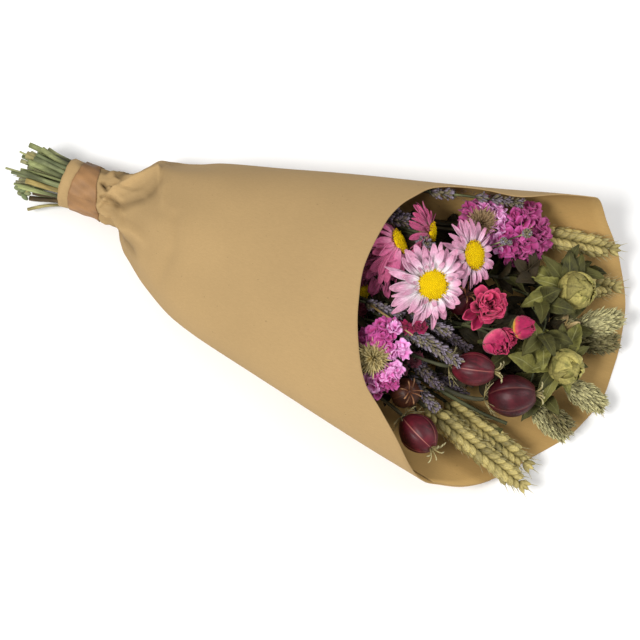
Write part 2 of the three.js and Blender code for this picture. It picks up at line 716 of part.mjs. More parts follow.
// A dense ear with glumes standing out of it all round
function phalarisHead({ reach, length }) {
  const swell = [[0.62, 0.08], [0.9, 0.22], [1, 0.4], [0.98, 0.56], [0.84, 0.72], [0.6, 0.86]]
    .map(([radius, height]) => [radius * reach, height * length]);
  const profile = [[0, -1], ...swell, [0, length - 2]];
  const ear = embossed(profile, 8, (column, ring) => ((column + ring) % 2 === 0 ? 1 : 0.7));
  return [ear, star(4, 3.2, length - 7, length - 1.4, 0.4)];
}

// Spikes are given by both ends, so their facing and length follow from these
for (const spike of [...LAVENDER, ...WHEAT, ...PHALARIS]) {
  const run = vector(spike.to).sub(vector(spike.at));
  spike.length = run.length();
  spike.face = run.toArray();
}

const stems = [
  ...DAISIES.map((head) => plantStem(head, 5, 11)),
  ...STATICE.map((head) => plantStem(head, 6.5, 14)),
  ...LAVENDER.map((head) => plantStem(head, -1.5, 10)),
  ...NIGELLA.map((head) => plantStem(head, 0.5 * head.tall + 2.5, 8)),
  plantStem(ROSE_FORK, 0, 8),
  ...WHEAT.map((head) => plantStem(head, -1.5, 10)),
  ...SAFFLOWER.map((head) => plantStem(head, 0.92 * head.reach + 0.35, 10)),
  ...PHALARIS.map((head) => plantStem(head, -1.5, 8)),
  ...FOLIAGE.map((head) => plantStem(head, 0, 10)),
];

// What the stems keep clear of
const bodies = [
  ...DAISIES.flatMap((head) => {
    const back = head.lift < -20 ? 0.75 * head.reach : 4;
    const wide = head.lift < -20 ? 0.9 * head.reach : head.reach;
    return [bodyOf(head, -back, 4, wide), bodyOf(head, -20, 0, 4)];
  }),
  ...STATICE.map((head) => bodyOf(head, -9, 8, head.reach * 1.15)),
  ...LAVENDER.map((head) => bodyOf(head, -6, head.length, head.reach + 1)),
  ...NIGELLA.flatMap((head) => [
    bodyOf(head, -0.5 * head.tall - 4, 0.5 * head.tall, head.reach),
    bodyOf(head, -0.5 * head.tall - 14, 0, 4),
  ]),
  ...ROSES.map((head) => bodyOf(head, -1.6 * head.reach, head.reach, head.reach)),
  ...WHEAT.map((head) => bodyOf(head, -4, head.length, 6.5)),
  ...SAFFLOWER.flatMap((head) => [
    bodyOf(head, -head.reach, head.reach, head.reach), bodyOf(head, -head.reach - 6, 0, 15)]),
  ...PHALARIS.map((head) => bodyOf(head, -4, head.length, head.reach)),
  ...FOLIAGE.map((head) => bodyOf(head, -24, 2, 0.4 * head.leaf)),
];

assignSlots(stems);
layStems(stems);
settleStems(stems, bodies);

const placed = (head, geometries, spin = 0) => {
  const matrix = facing(head.at, head.face, spin);
  return geometries.map((geometry) => geometry.applyMatrix4(matrix));
};
const stemOf = (head) => tube(stemPoints(head.stem));

function addDaisy(group, head) {
  group.add(piece(`${head.name}_petals`, placed(head, daisyPetals(head)), MATERIALS.daisy));
  group.add(piece(`${head.name}_disc`, placed(head, [daisyDisc(head)]), MATERIALS.disc));
  group.add(piece(`${head.name}_stem`, [stemOf(head), ...placed(head, [daisyCup(head)])], MATERIALS.stem));
}

function addStatice(group, head) {
  group.add(piece(`${head.name}_florets`, placed(head, staticeCluster(head)), MATERIALS.statice));
  group.add(piece(`${head.name}_stem`, [stemOf(head), ...placed(head, bractTuft(head))], MATERIALS.straw));
}

function addNigella(group, head) {
  group.add(piece(`${head.name}_pod`, placed(head, nigellaPod(head)), MATERIALS.nigella));
  group.add(piece(`${head.name}_stem`, [stemOf(head), ...placed(head, nigellaBracts(head))], MATERIALS.stem));
}

function addSafflower(group, head) {
  const leaves = leafCollar(head.leaves, -0.92 * head.reach - 1.9, 1.7 * head.reach);
  group.add(piece(`${head.name}_head`, placed(head, safflowerHead(head)), MATERIALS.safflower));
  group.add(piece(`${head.name}_stem`, [stemOf(head), ...placed(head, leaves)], MATERIALS.leaf));
}

// One branched rose stem carries all the rose blooms
function addRoses(group) {
  const fork = ROSE_FORK.stem.base;
  const parts = [stemOf(ROSE_FORK)];
  for (const head of ROSES) {
    group.add(piece(`${head.name}_bloom`, placed(head, roseBloom(head)), MATERIALS.rose));
    const axis = vector(head.face).normalize();
    const foot = vector(head.at).addScaledVector(axis, -0.9 * head.reach - 2.5);
    const run = 0.4 * fork.distanceTo(foot);
    const branch = new THREE.CubicBezierCurve3(
      fork.clone().addScaledVector(ROSE_FORK.stem.axis, -3),
      fork.clone().addScaledVector(ROSE_FORK.stem.axis, run),
      foot.clone().addScaledVector(axis, -run),
      foot,
    );
    parts.push(tube(branch.getPoints(3), 1, 4), ...placed(head, [roseCalyx(head)]));
  }
  group.add(piece('rose_stem', parts, MATERIALS.leaf));
}

// Leaves turn round the last stretch of their stem
function addFoliage(group, head) {
  const parts = [stemOf(head)];
  const [before, tip] = stemPoints(head.stem).slice(-2);
  for (let i = 0; i < head.leaves; i += 1) {
    const root = tip.clone().lerp(before, 0.25 + 0.22 * i);
    const one = onRing(leaf(head.leaf * between(0.85, 1.1), 0.46 * head.leaf), 0.3, 0, 50 - 6 * i, 2.4 * i);
    parts.push(one.applyMatrix4(facing(root.toArray(), tip.clone().sub(before).toArray())));
  }
  group.add(piece(head.name, parts, MATERIALS.leaf));
}

const bouquet = new THREE.Group();
bouquet.add(piece('paper_wrap', [makeWrap()], MATERIALS.paper));
bouquet.add(piece('neck_tape', [makeTape()], MATERIALS.tape));
bouquet.add(piece('binding_twine', [makeTwine()], MATERIALS.twine));
DAISIES.forEach((head) => addDaisy(bouquet, head));
STATICE.forEach((head) => addStatice(bouquet, head));
NIGELLA.forEach((head) => addNigella(bouquet, head));
SAFFLOWER.forEach((head) => addSafflower(bouquet, head));
FOLIAGE.forEach((head) => addFoliage(bouquet, head));
addRoses(bouquet);
for (const [heads, shape, material] of [
  [LAVENDER, lavenderSpike, MATERIALS.lavender],
  [WHEAT, wheatEar, MATERIALS.wheat],
  [PHALARIS, phalarisHead, MATERIALS.phalaris],
]) {
  heads.forEach((head) => {
    bouquet.add(piece(head.name, [stemOf(head), ...placed(head, shape(head))], material));
  });
}

// The origin is under the middle of the whole bouquet, on the surface that it lies on
const bounds = new THREE.Box3().setFromObject(bouquet);
const middle = bounds.getCenter(new THREE.Vector3());
bouquet.position.set(-middle.x, -middle.y, -bounds.min.z);

const part = new THREE.Group();
part.add(bouquet);

export default part;
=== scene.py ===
"""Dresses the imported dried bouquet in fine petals, buds, ears, leaves, stems and kraft paper."""
import math

import bpy
import numpy as np
from bpy.props import FloatProperty, FloatVectorProperty, PointerProperty
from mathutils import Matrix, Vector


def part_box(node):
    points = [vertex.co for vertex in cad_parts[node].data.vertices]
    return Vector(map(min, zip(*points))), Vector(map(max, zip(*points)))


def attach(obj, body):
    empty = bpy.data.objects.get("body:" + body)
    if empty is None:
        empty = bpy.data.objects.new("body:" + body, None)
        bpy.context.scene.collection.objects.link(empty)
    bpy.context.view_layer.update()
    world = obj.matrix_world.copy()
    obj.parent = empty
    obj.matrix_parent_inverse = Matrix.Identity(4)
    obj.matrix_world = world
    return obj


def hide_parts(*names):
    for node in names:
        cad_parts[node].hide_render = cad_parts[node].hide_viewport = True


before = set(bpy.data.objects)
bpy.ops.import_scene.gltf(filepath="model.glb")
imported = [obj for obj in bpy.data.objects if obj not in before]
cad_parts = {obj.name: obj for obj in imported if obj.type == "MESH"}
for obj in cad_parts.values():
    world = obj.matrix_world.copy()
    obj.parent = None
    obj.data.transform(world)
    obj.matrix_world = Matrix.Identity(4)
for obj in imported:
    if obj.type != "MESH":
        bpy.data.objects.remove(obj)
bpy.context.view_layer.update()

bl_info = {
    "name": "Dried Bouquet",
    "version": (1, 0, 0),
    "blender": (4, 5, 0),
    "location": "3D View > Sidebar > Bouquet",
    "description": "Builds the fine pieces of a dried flower bouquet in a kraft paper wrap",
    "category": "Object",
}

TAU = 2.0 * math.pi
GOLDEN = TAU * 0.381966
MM = 0.001
UP = (0, 0, 1)

# The bouquet's own frame is in millimetres: x runs from the middle of the neck to the mouth
TAPE_LOW, TAPE_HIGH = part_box("neck_tape")
TAPE_MIDDLE = np.array([-0.25, 0.0, 22.0])
SHIFT = 500.0 * np.array(TAPE_LOW + TAPE_HIGH) - TAPE_MIDDLE

# Where the gathered end of the paper stands, and the middle of the neck in y and z
COLLAR_END = -12.8
NECK_MIDDLE = (-0.8, 21.6)
# x, half width, middle y, half height, centre z, depth of the pleats
WRAP_SECTIONS = np.array([
    [COLLAR_END, 17.2, -0.8, 17.4, 21.6, 0.12], [-5, 16.6, -0.8, 16.8, 21.6, 0.1],
    [13, 16.6, -0.8, 16.8, 21.6, 0.1], [19, 17.4, -0.9, 17.6, 21.7, 0.5], [30, 19.9, 0.1, 19.7, 21.9, 1.0],
    [45, 35.2, -0.8, 25.4, 22.8, 1.1], [66, 45.4, -8.2, 32, 29, 0.9], [97, 57.7, -14.9, 40, 37.2, 0.5],
    [138, 68.2, -17.8, 46, 42.8, 0.2], [186, 80.2, -19, 51, 47.4, 0],
    [230, 90.6, -19.4, 54, 50.2, 0], [280, 102.1, -19.9, 57, 53, 0],
    [325, 113.2, -19.9, 58.8, 54.7, 0], [390, 127, -19.9, 61.4, 57.1, 0],
])
# The paper is whole round the stems up to here
WHOLE_END = 186.0
# Degrees round the mouth, from the far side over the top, and how far the paper reaches there
MOUTH_EDGE = np.array([
    [13, 335.5], [13.9, 328.5], [17, 306], [20, 284], [24, 252], [28, 240], [34, 231.5],
    [43, 225.5], [54, 218], [66, 213.6], [88, 211], [106, 216], [126, 227],
    [138, 237], [146, 250.5], [160, 269.5], [184, 287.5], [200, 298], [214, 316], [226, 331],
    [244, 353], [260, 376], [275, 386], [285, 386], [301, 382], [321, 367], [345, 347], [373, 335.5],
])
MOUTH_START = 13
# Degrees round the paper at which its hidden edge lies, and by which it laps over itself
SEAM = 198.0
OVERLAP = 28.0
# Pleats that the band holds, the degree that one of them is at, and folds that fan out from the neck
NECK_PLEATS = 8
PLEAT_START = 13
FOLDS = 26
# Degrees at which the band starts and through which it goes round, and where its left edge lies
BAND_START = 118
BAND_TURN = 376
BAND_LEFT = -4.6

# Head tables: where it sits, where it faces or ends, and its sizes
# Daisies also give the rise of the petals in degrees, the sides where they are longer or sparse, and
# how many hang below
DAISIES = {
    1: dict(at=(255, -12, 92), face=(.4, -.23, .88), reach=26.5, disc=10.2, lift=4,
            grow=(((-1, -.35, 0), 1.22), ((1, .1, -.3), 0.74)), bare=(1, .2, 0)),
    2: dict(at=(273, 21, 80), face=(.74, .08, .67), reach=23, disc=9.6, lift=-14,
            grow=(((-.5, .6, .2), 1.25),)),
    3: dict(at=(224, 14, 77), face=(.72, .52, .46), reach=25, disc=8.6, lift=-48,
            grow=(((0, -.95, -.3), 1.3),), skirt=80),
    4: dict(at=(241, 31, 70), face=(.95, .21, .22), reach=21, disc=6.4, lift=-36),
    5: dict(at=(214.5, -23, 64), face=(.25, -.6, .76), reach=17, disc=6.5, lift=4),
}
# Florets are how close they sit and their least and greatest size, tuft is its x, y and width, and
# foot is the height of its root
STATICE = {
    1: dict(at=(237, -68, 80), face=(-.1, -.47, .88), reach=16, tall=1.62, tuft=(-2, 0.5, 11), foot=-3.5,
            florets=(4.6, 4.0, 6.2), papers=("papery", "light"), bracts="bracts"),
    2: dict(at=(272, 52.5, 63), face=(.05, -.22, .97), reach=15.5, tall=1.1, tuft=(-2, -1, 9), foot=-1,
            florets=(3.6, 4.6, 7.2), papers=("lilac", "violet"), bracts="brown_bracts"),
    3: dict(at=(302, 56.5, 55), face=(.55, -.25, .79), reach=16.5, tall=1.15, tuft=(-4, 2, 2), foot=-1,
            florets=(3.2, 5.6, 8.4), papers=("violet", "papery"), bracts="bracts"),
}
# Whorls are how many, or the share of the length at each
LAVENDER = {
    1: dict(at=(251, -40, 73), to=(286, -48.5, 71), reach=6.3, whorls=7),
    2: dict(at=(254, -45, 40), to=(275, -58, 43.5), reach=6.0, whorls=5),
    3: dict(at=(236, -29, 70), to=(274, -31.5, 73), reach=5.6, whorls=7),
    4: dict(at=(230.5, 59.5, 67), to=(292, 72.5, 68), reach=4.3, whorls=(.03, .16, .52, .68, .8, .92)),
    5: dict(at=(275, -49, 32), to=(296, -53, 25), reach=5, whorls=5),
    6: dict(at=(205, 36, 66), to=(229, 33, 73), reach=5.6, whorls=6),
}
# Spikes whose buds are painted darker, as shade deep in the paper
SHADED_LAVENDER = (2, 5, 6)
# Fresh is the tone of the skin, and turn is where its seams start
NIGELLA = {
    1: dict(at=(297, -46, 60), face=(.97, .18, .1), reach=11, tall=27, fresh=.7, turn=1.2),
    2: dict(at=(326, -49, 42), face=(.91, .38, .17), reach=14, tall=31, fresh=.15, turn=.9),
    3: dict(at=(277, -96, 49), face=(.83, -.51, .22), reach=12, tall=27, fresh=.6, turn=.4),
    4: dict(at=(260, -73, 48), face=(.3, -.1, .95), reach=10, tall=20, fresh=.5, turn=.2),
    5: dict(at=(274.5, -5, 60), face=(.3, .3, .9), reach=9, tall=18, fresh=.4, turn=.2),
}
ROSES = {
    1: dict(at=(293, -4, 69), face=(.29, -.07, .95), reach=10.5, outside="outside"),
    2: dict(at=(307, -25, 62), face=(.57, -.53, .62), reach=9.4, outside="salmon"),
    3: dict(at=(320, -7, 59), face=(.83, .23, .51), reach=8.2, outside="golden"),
    4: dict(at=(312.5, -16, 55), face=(.7, -.1, .7), reach=7.2, outside="outside"),
}
# Where the stems of the rosebuds part
ROSE_FORK = dict(at=(280, -14, 44), face=(.95, 0, .3))
WHEAT = {
    1: dict(at=(276, -72, 28), to=(356, -99, 19)),
    2: dict(at=(287, -60, 15), to=(355, -84, 16)),
    3: dict(at=(293, 68, 32), to=(364, 77, 33)),
    4: dict(at=(316, 40, 20), to=(374, 57, 21)),
}
SAFFLOWER = {
    1: dict(at=(346, 35, 46), face=(.55, -.1, .83), reach=12.5),
    2: dict(at=(355, -18, 42), face=(.56, -.31, .77), reach=11.5),
}
PHALARIS = {
    1: dict(at=(354, 18.5, 20), to=(379, 34.5, 24), reach=10.5),
    2: dict(at=(355, 12, 13), to=(382, 20, 15), reach=9),
    3: dict(at=(360, -21, 17), to=(387, -27, 14), reach=9.5),
    4: dict(at=(343, -43, 14), to=(370, -54, 13), reach=8.5),
}
OLIVE_GRASS = 2
FOLIAGE = {
    1: dict(at=(318, 4, 32), face=(.9, .05, .44), leaves=6, leaf=21),
    2: dict(at=(303, 30, 42), face=(.85, .2, .5), leaves=6, leaf=24),
    3: dict(at=(329, -64, 29), face=(1, 0, -.05), leaves=0, leaf=0),
}


# Places of the materials that every stem carries; a piece's own follow from OWN on
GREEN, CUT, BRACT, SAGE, OLIVE, SHADED, OWN = range(7)


# Vectors and tables

def unit(vectors):
    vectors = np.asarray(vectors, float)
    return vectors / np.maximum(np.linalg.norm(vectors, axis=-1, keepdims=True), 1e-9)


def spoke(angle):
    """A level direction at an angle from x."""
    return np.array([math.cos(angle), math.sin(angle), 0])


def circle(sides):
    """Corners of a level ring of radius 1."""
    angle = np.linspace(0, TAU, sides, endpoint=False)
    return np.stack([np.cos(angle), np.sin(angle), 0 * angle], -1)


def bow(start, toward, end, count):
    """A curve from start to end that is drawn towards a third point."""
    t = np.linspace(0, 1, count)[:, None]
    return (1 - t) ** 2 * start + 2 * t * (1 - t) * toward + t ** 2 * end


def turned(rows, sides):
    """Level rings from rows of radius and height."""
    wide, high = np.asarray(rows, float).T
    rings = wide[:, None, None] * circle(sides)
    rings[..., 2] = high[:, None]
    return rings


def axes_to(face, spin=0.0):
    """Rows are the head's own x, y and z once z is turned to face."""
    x, y, z = unit(face)
    k = 1.0 / (1.0 + z)
    tilt = np.array([[1 - x * x * k, -x * y * k, -x], [-x * y * k, 1 - y * y * k, -y], [x, y, z]])
    c, s = math.cos(spin), math.sin(spin)
    return np.array([[c, s, 0], [-s, c, 0], [0, 0, 1]]) @ tilt


def smooth(x, xs, ys):
    """Values between the rows of a table, with no corners at the rows."""
    x, xs, ys = np.asarray(x, float), np.asarray(xs, float), np.asarray(ys, float)
    rise = np.diff(ys) / np.diff(xs)
    pair = rise[1:] * rise[:-1]
    inner = np.where(pair > 0, 2 * pair / np.where(pair > 0, rise[1:] + rise[:-1], 1.0), 0.0)
    slope = np.concatenate([rise[:1], inner, rise[-1:]])
    i = np.clip(np.searchsorted(xs, x) - 1, 0, len(xs) - 2)
    h = xs[i + 1] - xs[i]
    t = np.clip((x - xs[i]) / h, 0, 1)
    return ((2 * t ** 3 - 3 * t ** 2 + 1) * ys[i] + (t ** 3 - 2 * t ** 2 + t) * h * slope[i]
            + (3 * t ** 2 - 2 * t ** 3) * ys[i + 1] + (t ** 3 - t ** 2) * h * slope[i + 1])


def step(x, low, high):
    t = np.clip((x - low) / (high - low), 0, 1)
    return t * t * (3 - 2 * t)


def resample(points, spacing):
    """The same course with even steps and rounded bends."""
    points = np.asarray(points, float)
    run = np.concatenate([[0], np.cumsum(np.linalg.norm(np.diff(points, axis=0), axis=1))])
    place = np.linspace(0, run[-1], max(4, int(run[-1] / spacing)))
    return np.stack([smooth(place, run, points[:, k]) for k in range(3)], -1)


def tapered(count, power=1.25):
    """Steps from 0 to 1 that come closer near 1."""
    return 1 - (1 - np.linspace(0, 1, count)) ** power


def outline(t, root, peak, tip, power=1.0):
    """Half width of a petal along its length, 1 at its widest."""
    climb = root + (1 - root) * np.sin(0.5 * np.pi * np.clip(t / peak, 0, 1))
    fall = np.cos(0.5 * np.pi * np.clip((t - peak) / (1 - peak), 0, 1))
    return np.where(t < peak, climb, tip + (1 - tip) * fall ** power)


# Meshes

class Batch:
    """Closed shapes that become one mesh, each corner marked with along, across and tone.

    The seed starts the batch's own random draws.
    """

    def __init__(self, seed):
        self.draw = np.random.default_rng(seed)
        self.points, self.marks, self.faces, self.kinds, self.smooth = [], [], [], [], []
        self.size = 0
        self.stand()

    def stand(self, at=(0, 0, 0), face=UP, spin=0.0):
        """Sets where the next shapes stand."""
        self.at, self.axes = np.asarray(at, float), axes_to(face, spin)
        return self

    def between(self, low, high):
        return float(self.draw.uniform(low, high))

    def around(self, count, offset, sway=0.0):
        """Numbers and angles of shapes set round an axis, each up to sway of a step aside."""
        for i in range(count):
            aside = self.between(-sway, sway) if sway else 0
            yield i, TAU * (i + offset + aside) / count

    def loft(self, rings, along, across, tone, kind=0, strip=False, column_kinds=None, end_kind=None):
        """Rings of corners joined into a skin; its ends are one flat face each, or a strip of faces."""
        rings = self.at + np.asarray(rings, float) @ self.axes
        n, m = rings.shape[:2]
        index = np.arange(n * m).reshape(n, m)
        here, ahead = index[:-1], index[1:]
        quads = np.stack([here, np.roll(here, -1, 1), np.roll(ahead, -1, 1), ahead], -1).reshape(-1, 4)
        kinds = [kind] * len(quads) if column_kinds is None else np.tile(column_kinds, n - 1).tolist()
        first, last = index[0], index[-1]
        if strip:
            j = np.arange(m // 2 - 1)
            caps = np.stack([last[j], last[j + 1], last[m - 2 - j], last[m - 1 - j]], -1).tolist()
            caps += np.stack([first[j], first[m - 1 - j], first[m - 2 - j], first[j + 1]], -1).tolist()
        else:
            caps = [last.tolist(), first[::-1].tolist()]
        flat_points = rings.reshape(-1, 3)
        local = flat_points - flat_points.mean(0)
        a, b, c, d = (local[quads[:, k]] for k in range(4))
        volume = np.einsum("ij,ij->", a, np.cross(b, c) + np.cross(c, d))
        for cap in caps:
            corner = local[cap]
            volume += np.einsum("j,ij->", corner[0], np.cross(corner[1:-1], corner[2:]))
        faces = quads.tolist() + caps
        if volume < 0:
            faces = [face[::-1] for face in faces]
        self.faces += [[self.size + v for v in face] for face in faces]
        self.kinds += kinds + [kind if end_kind is None else end_kind] * len(caps)
        self.smooth += [True] * len(quads) + [False] * len(caps)
        self.points.append(flat_points)
        marks = np.empty((n, m, 3))
        marks[..., 0], marks[..., 1], marks[..., 2] = along, across, tone
        self.marks.append(marks.reshape(-1, 3))
        self.size += n * m

    def sheet(self, grid, thick, kind=0, back=None, tone=None, along=None):
        """A thin slab on a grid of points: rows run along it and columns across."""
        grid = np.asarray(grid, float)
        n, k = grid.shape[:2]
        normal = unit(np.cross(np.gradient(grid, axis=0), np.gradient(grid, axis=1)))
        thick = np.broadcast_to(thick, (n, k))[..., None]
        top, bottom = grid + 0.5 * thick * normal, grid - 0.5 * thick * normal
        rings = np.concatenate([top[:, ::-1], bottom], axis=1)
        along = np.linspace(0, 1, n)[:, None] if along is None else along
        tone = self.between(0, 1) if tone is None else tone
        marks = [np.broadcast_to(mark, (n, k)) for mark in (along, np.linspace(-1, 1, k), tone)]
        marks = [np.concatenate([mark[:, ::-1], mark], axis=1) for mark in marks]
        column_kinds = None if back is None else [kind] * k + [back] * (k - 1) + [kind]
        self.loft(rings, *marks, kind, True, column_kinds)

    def petal(self, root, out, up, length, width, slopes, shape, t=None, across=7, thick=0.28,
              cup=0.0, ridge=0.0, ridges=3, ruffle=0.0, yaw=0.0, twist=0.0, teeth=None, kind=0,
              back=None, tone=None):
        """A petal or leaf that leaves root along out and climbs towards up by slopes in degrees."""
        t = tapered(11) if t is None else t
        out, up = unit(out), unit(up)
        angle = np.radians(np.interp(t, np.linspace(0, 1, len(slopes)), slopes))[:, None]
        sideways = np.cross(up, out)
        turn = np.radians(yaw) * t[:, None]
        run = np.cos(turn) * out + np.sin(turn) * sideways
        course = np.cos(angle) * run + np.sin(angle) * up
        gap = np.diff(t)[:, None]
        spine = np.asarray(root, float) + length * np.concatenate(
            [np.zeros((1, 3)), np.cumsum(0.5 * (course[1:] + course[:-1]) * gap, axis=0)])
        side = unit(np.cross(up, run))
        normal = np.cross(course, side)
        roll = np.radians(twist) * t[:, None]
        side, normal = (np.cos(roll) * side + np.sin(roll) * normal,
                        np.cos(roll) * normal - np.sin(roll) * side)
        half = 0.5 * width * outline(t, *shape)
        if teeth:
            half = half * (1 + teeth[1] * np.abs((t * teeth[0]) % 1.0 * 2 - 1) - teeth[1])
        u = np.linspace(-1, 1, across)
        rise = cup * half[:, None] * (u ** 2 - 0.3)
        rise = rise + ridge * np.cos(np.pi * ridges * u) * (half / half.max())[:, None]
        if ruffle:
            phase = self.between(0, TAU)
            wave = np.sin(t[:, None] * 9 + phase + 1.3 * np.sign(u)) * u ** 2
            rise = rise + ruffle * wave * (0.3 + t[:, None])
        aside, above = (half[:, None] * u)[..., None], rise[..., None]
        grid = spine[:, None] + side[:, None] * aside + normal[:, None] * above
        self.sheet(grid, thick, kind, back, tone, along=t[:, None])

    def tube(self, path, radii, sides, kind, tone=None, flat=1.0, end_kind=None, bore=0.0, relief=None):
        """A round body along a path; relief scales its corners and bore opens its first end."""
        path = np.asarray(path, float)
        n = len(path)
        radii = np.broadcast_to(radii, (n,))
        course = unit(np.gradient(path, axis=0))
        guess = np.array([0, 0, 1.0]) if abs(course[0, 2]) < 0.9 else np.array([1.0, 0, 0])
        side = np.empty((n, 3))
        for i in range(n):
            guess = unit(guess - course[i] * guess.dot(course[i]))
            side[i] = guess
        other = np.cross(course, side)
        angle = np.linspace(0, TAU, sides, endpoint=False)
        size = radii[:, None] * (1.0 if relief is None else relief)
        rings = path[:, None] + size[..., None] * (
            np.cos(angle)[:, None] * side[:, None] + flat * np.sin(angle)[:, None] * other[:, None])
        along = np.linspace(0, 1, n)
        if bore:
            rim = path[0] + bore * (rings[0] - path[0])
            rings = np.concatenate([[rim + 1.5 * course[0]], [rim], rings])
            along = np.concatenate([[0, 0], along])
        tone = self.between(0, 1) if tone is None else tone
        self.loft(rings, along[:, None], np.sin(angle), tone, kind, end_kind=end_kind)

    def bud(self, root, toward, length, radius, kind, sides, flat=1.0, ribs=0.0, blunt=0.35, steps=6,
            peak=0.42):
        """A small closed grain, bud or seed that points from root towards toward."""
        t = np.linspace(0, 1, steps)
        path = np.asarray(root, float) + np.outer(t * length, unit(toward))
        radii = radius * outline(t, 0.45, peak, blunt, 0.8)
        relief = 1 + ribs * (np.arange(sides) % 2) if ribs else None
        self.tube(path, radii, sides, kind, flat=flat, relief=relief)

    def build(self, name, finishes, slot, *nodes):
        """Makes the mesh, puts it in the frame, and lets it stand for its CAD nodes."""
        mesh = bpy.data.meshes.new(name)
        points = MM * (np.concatenate(self.points) + SHIFT)
        mesh.from_pydata(points.tolist(), [], self.faces)
        mesh.polygons.foreach_set("material_index", self.kinds)
        mesh.polygons.foreach_set("use_smooth", self.smooth)
        mark = mesh.attributes.new("mark", "FLOAT_VECTOR", "POINT")
        mark.data.foreach_set("vector", np.concatenate(self.marks).astype(np.float32).ravel())
        for finish in finishes:
            mesh.materials.append(finish)
        mesh.update()
        piece = bpy.data.objects.new(name, mesh)
        bpy.context.scene.collection.objects.link(piece)
        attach(piece, "root")
        if nodes:
            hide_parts(*nodes)
        return piece


# Materials

def linear(colour):
    """Shader values of a colour as it is seen."""
    colour = [colour] * 3 if isinstance(colour, (int, float)) else list(colour)[:3]
    return tuple(c / 12.92 if c <= 0.04045 else ((c + 0.055) / 1.055) ** 2.4 for c in colour) + (1.0,)


class Finish:
    """One procedural material, built node by node."""

    def __init__(self, name, roughness, **sockets):
        self.material = bpy.data.materials.new(name)
        self.material.use_nodes = True
        self.tree = self.material.node_tree
        self.shader = self.tree.nodes["Principled BSDF"]
        self.shader.inputs["Roughness"].default_value = roughness
        for socket, value in sockets.items():
            self.shader.inputs[socket.replace("_", " ")].default_value = value
        mark = self.node("Attribute", [], attribute_name="mark")
        parts = self.node("SeparateXYZ", [(0, mark.outputs["Vector"])])
        self.along, self.across, self.tone = parts.outputs
        self.where = self.node("TexCoord", []).outputs["Object"]
        self.normal = None

    def node(self, kind, inputs, **settings):
        node = self.tree.nodes.new("ShaderNode" + kind)
        for key, value in settings.items():
            setattr(node, key, value)
        for key, value in inputs:
            if isinstance(value, bpy.types.NodeSocket):
                self.tree.links.new(value, node.inputs[key])
            else:
                node.inputs[key].default_value = value
        return node

    def noise(self, scale, detail, stretch=None):
        where = self.where
        if stretch:
            where = self.node("Mapping", [(0, where), ("Scale", stretch)]).outputs[0]
        return self.node("TexNoise", [("Vector", where), ("Scale", scale), ("Detail", detail)]).outputs[0]

    def ramp(self, factor, *stops):
        node = self.node("ValToRGB", [(0, factor)])
        elements = node.color_ramp.elements
        for element, (place, colour) in zip((elements[0], elements[1]), (stops[0], stops[-1])):
            element.position, element.color = place, linear(colour)
        for place, colour in stops[1:-1]:
            elements.new(place).color = linear(colour)
        return node.outputs[0]

    def math(self, operation, a, b=0.0):
        return self.node("Math", [(0, a), (1, b)], operation=operation).outputs[0]

    def stripes(self, count):
        """Lines that run along the piece."""
        return self.math("ABSOLUTE", self.math("SINE", self.math("MULTIPLY", self.across, count)))

    def mix(self, factor, a, b, blend="MIX"):
        a, b = (x if isinstance(x, bpy.types.NodeSocket) else linear(x) for x in (a, b))
        inputs = [(0, factor), (6, a), (7, b)]
        return self.node("Mix", inputs, data_type="RGBA", blend_type=blend).outputs[2]

    def shade(self, colour, factor, low, high=1.0, start=0.3, end=0.7):
        """Darkens a colour where the factor is low."""
        return self.mix(1.0, colour, self.ramp(factor, (start, low), (end, high)), "MULTIPLY")

    def bump(self, height, distance, strength):
        inputs = [("Height", height), ("Distance", distance), ("Strength", strength)]
        if self.normal:
            inputs.append(("Normal", self.normal))
        self.normal = self.node("Bump", inputs).outputs[0]

    def done(self, colour):
        self.tree.links.new(colour, self.shader.inputs["Base Color"])
        if self.normal:
            self.tree.links.new(self.normal, self.shader.inputs["Normal"])
        return self.material


def scaled(colour, share):
    return tuple(min(1.0, c * share) for c in colour)


def shades(colour, *shares):
    return [scaled(colour, share) for share in shares]


def materials(*names):
    return [bpy.data.materials[name] for name in names]


def paper_finish(name, colour):
    """Kraft paper: cloudy pulp, long fibres, dark and pale flecks, a soft crinkle, and painted shade in its
    folds.
    """
    f = Finish(name, 0.85, Specular_IOR_Level=0.25)
    dark, pale = shades(colour, 0.975, 1.02)
    pulp = f.ramp(f.noise(14, 3), (0.3, dark), (0.7, pale))
    pulp = f.shade(pulp, f.noise(1300, 2, (0.12, 1, 1)), 0.97)
    pulp = f.shade(pulp, f.noise(2400, 2), 0.965)
    fleck = f.ramp(f.noise(520, 1), (0.76, 0.0), (0.80, 1.0))
    pulp = f.mix(f.math("MULTIPLY", fleck, 0.4), pulp, scaled(colour, 0.6))
    # Painted shade: where the tone mark is low, in the folds, the paper is darker
    pulp = f.shade(pulp, f.tone, 0.66, 1.04, 0.0, 0.62)
    f.bump(f.noise(40, 3), 0.0007, 0.22)
    f.bump(f.noise(1800, 3, (0.3, 1, 1)), 0.00006, 0.3)
    return f.done(pulp)


# Where along a petal its root, middle and tip colours are
PETAL_STOPS = (0.15, 0.55, 0.95)


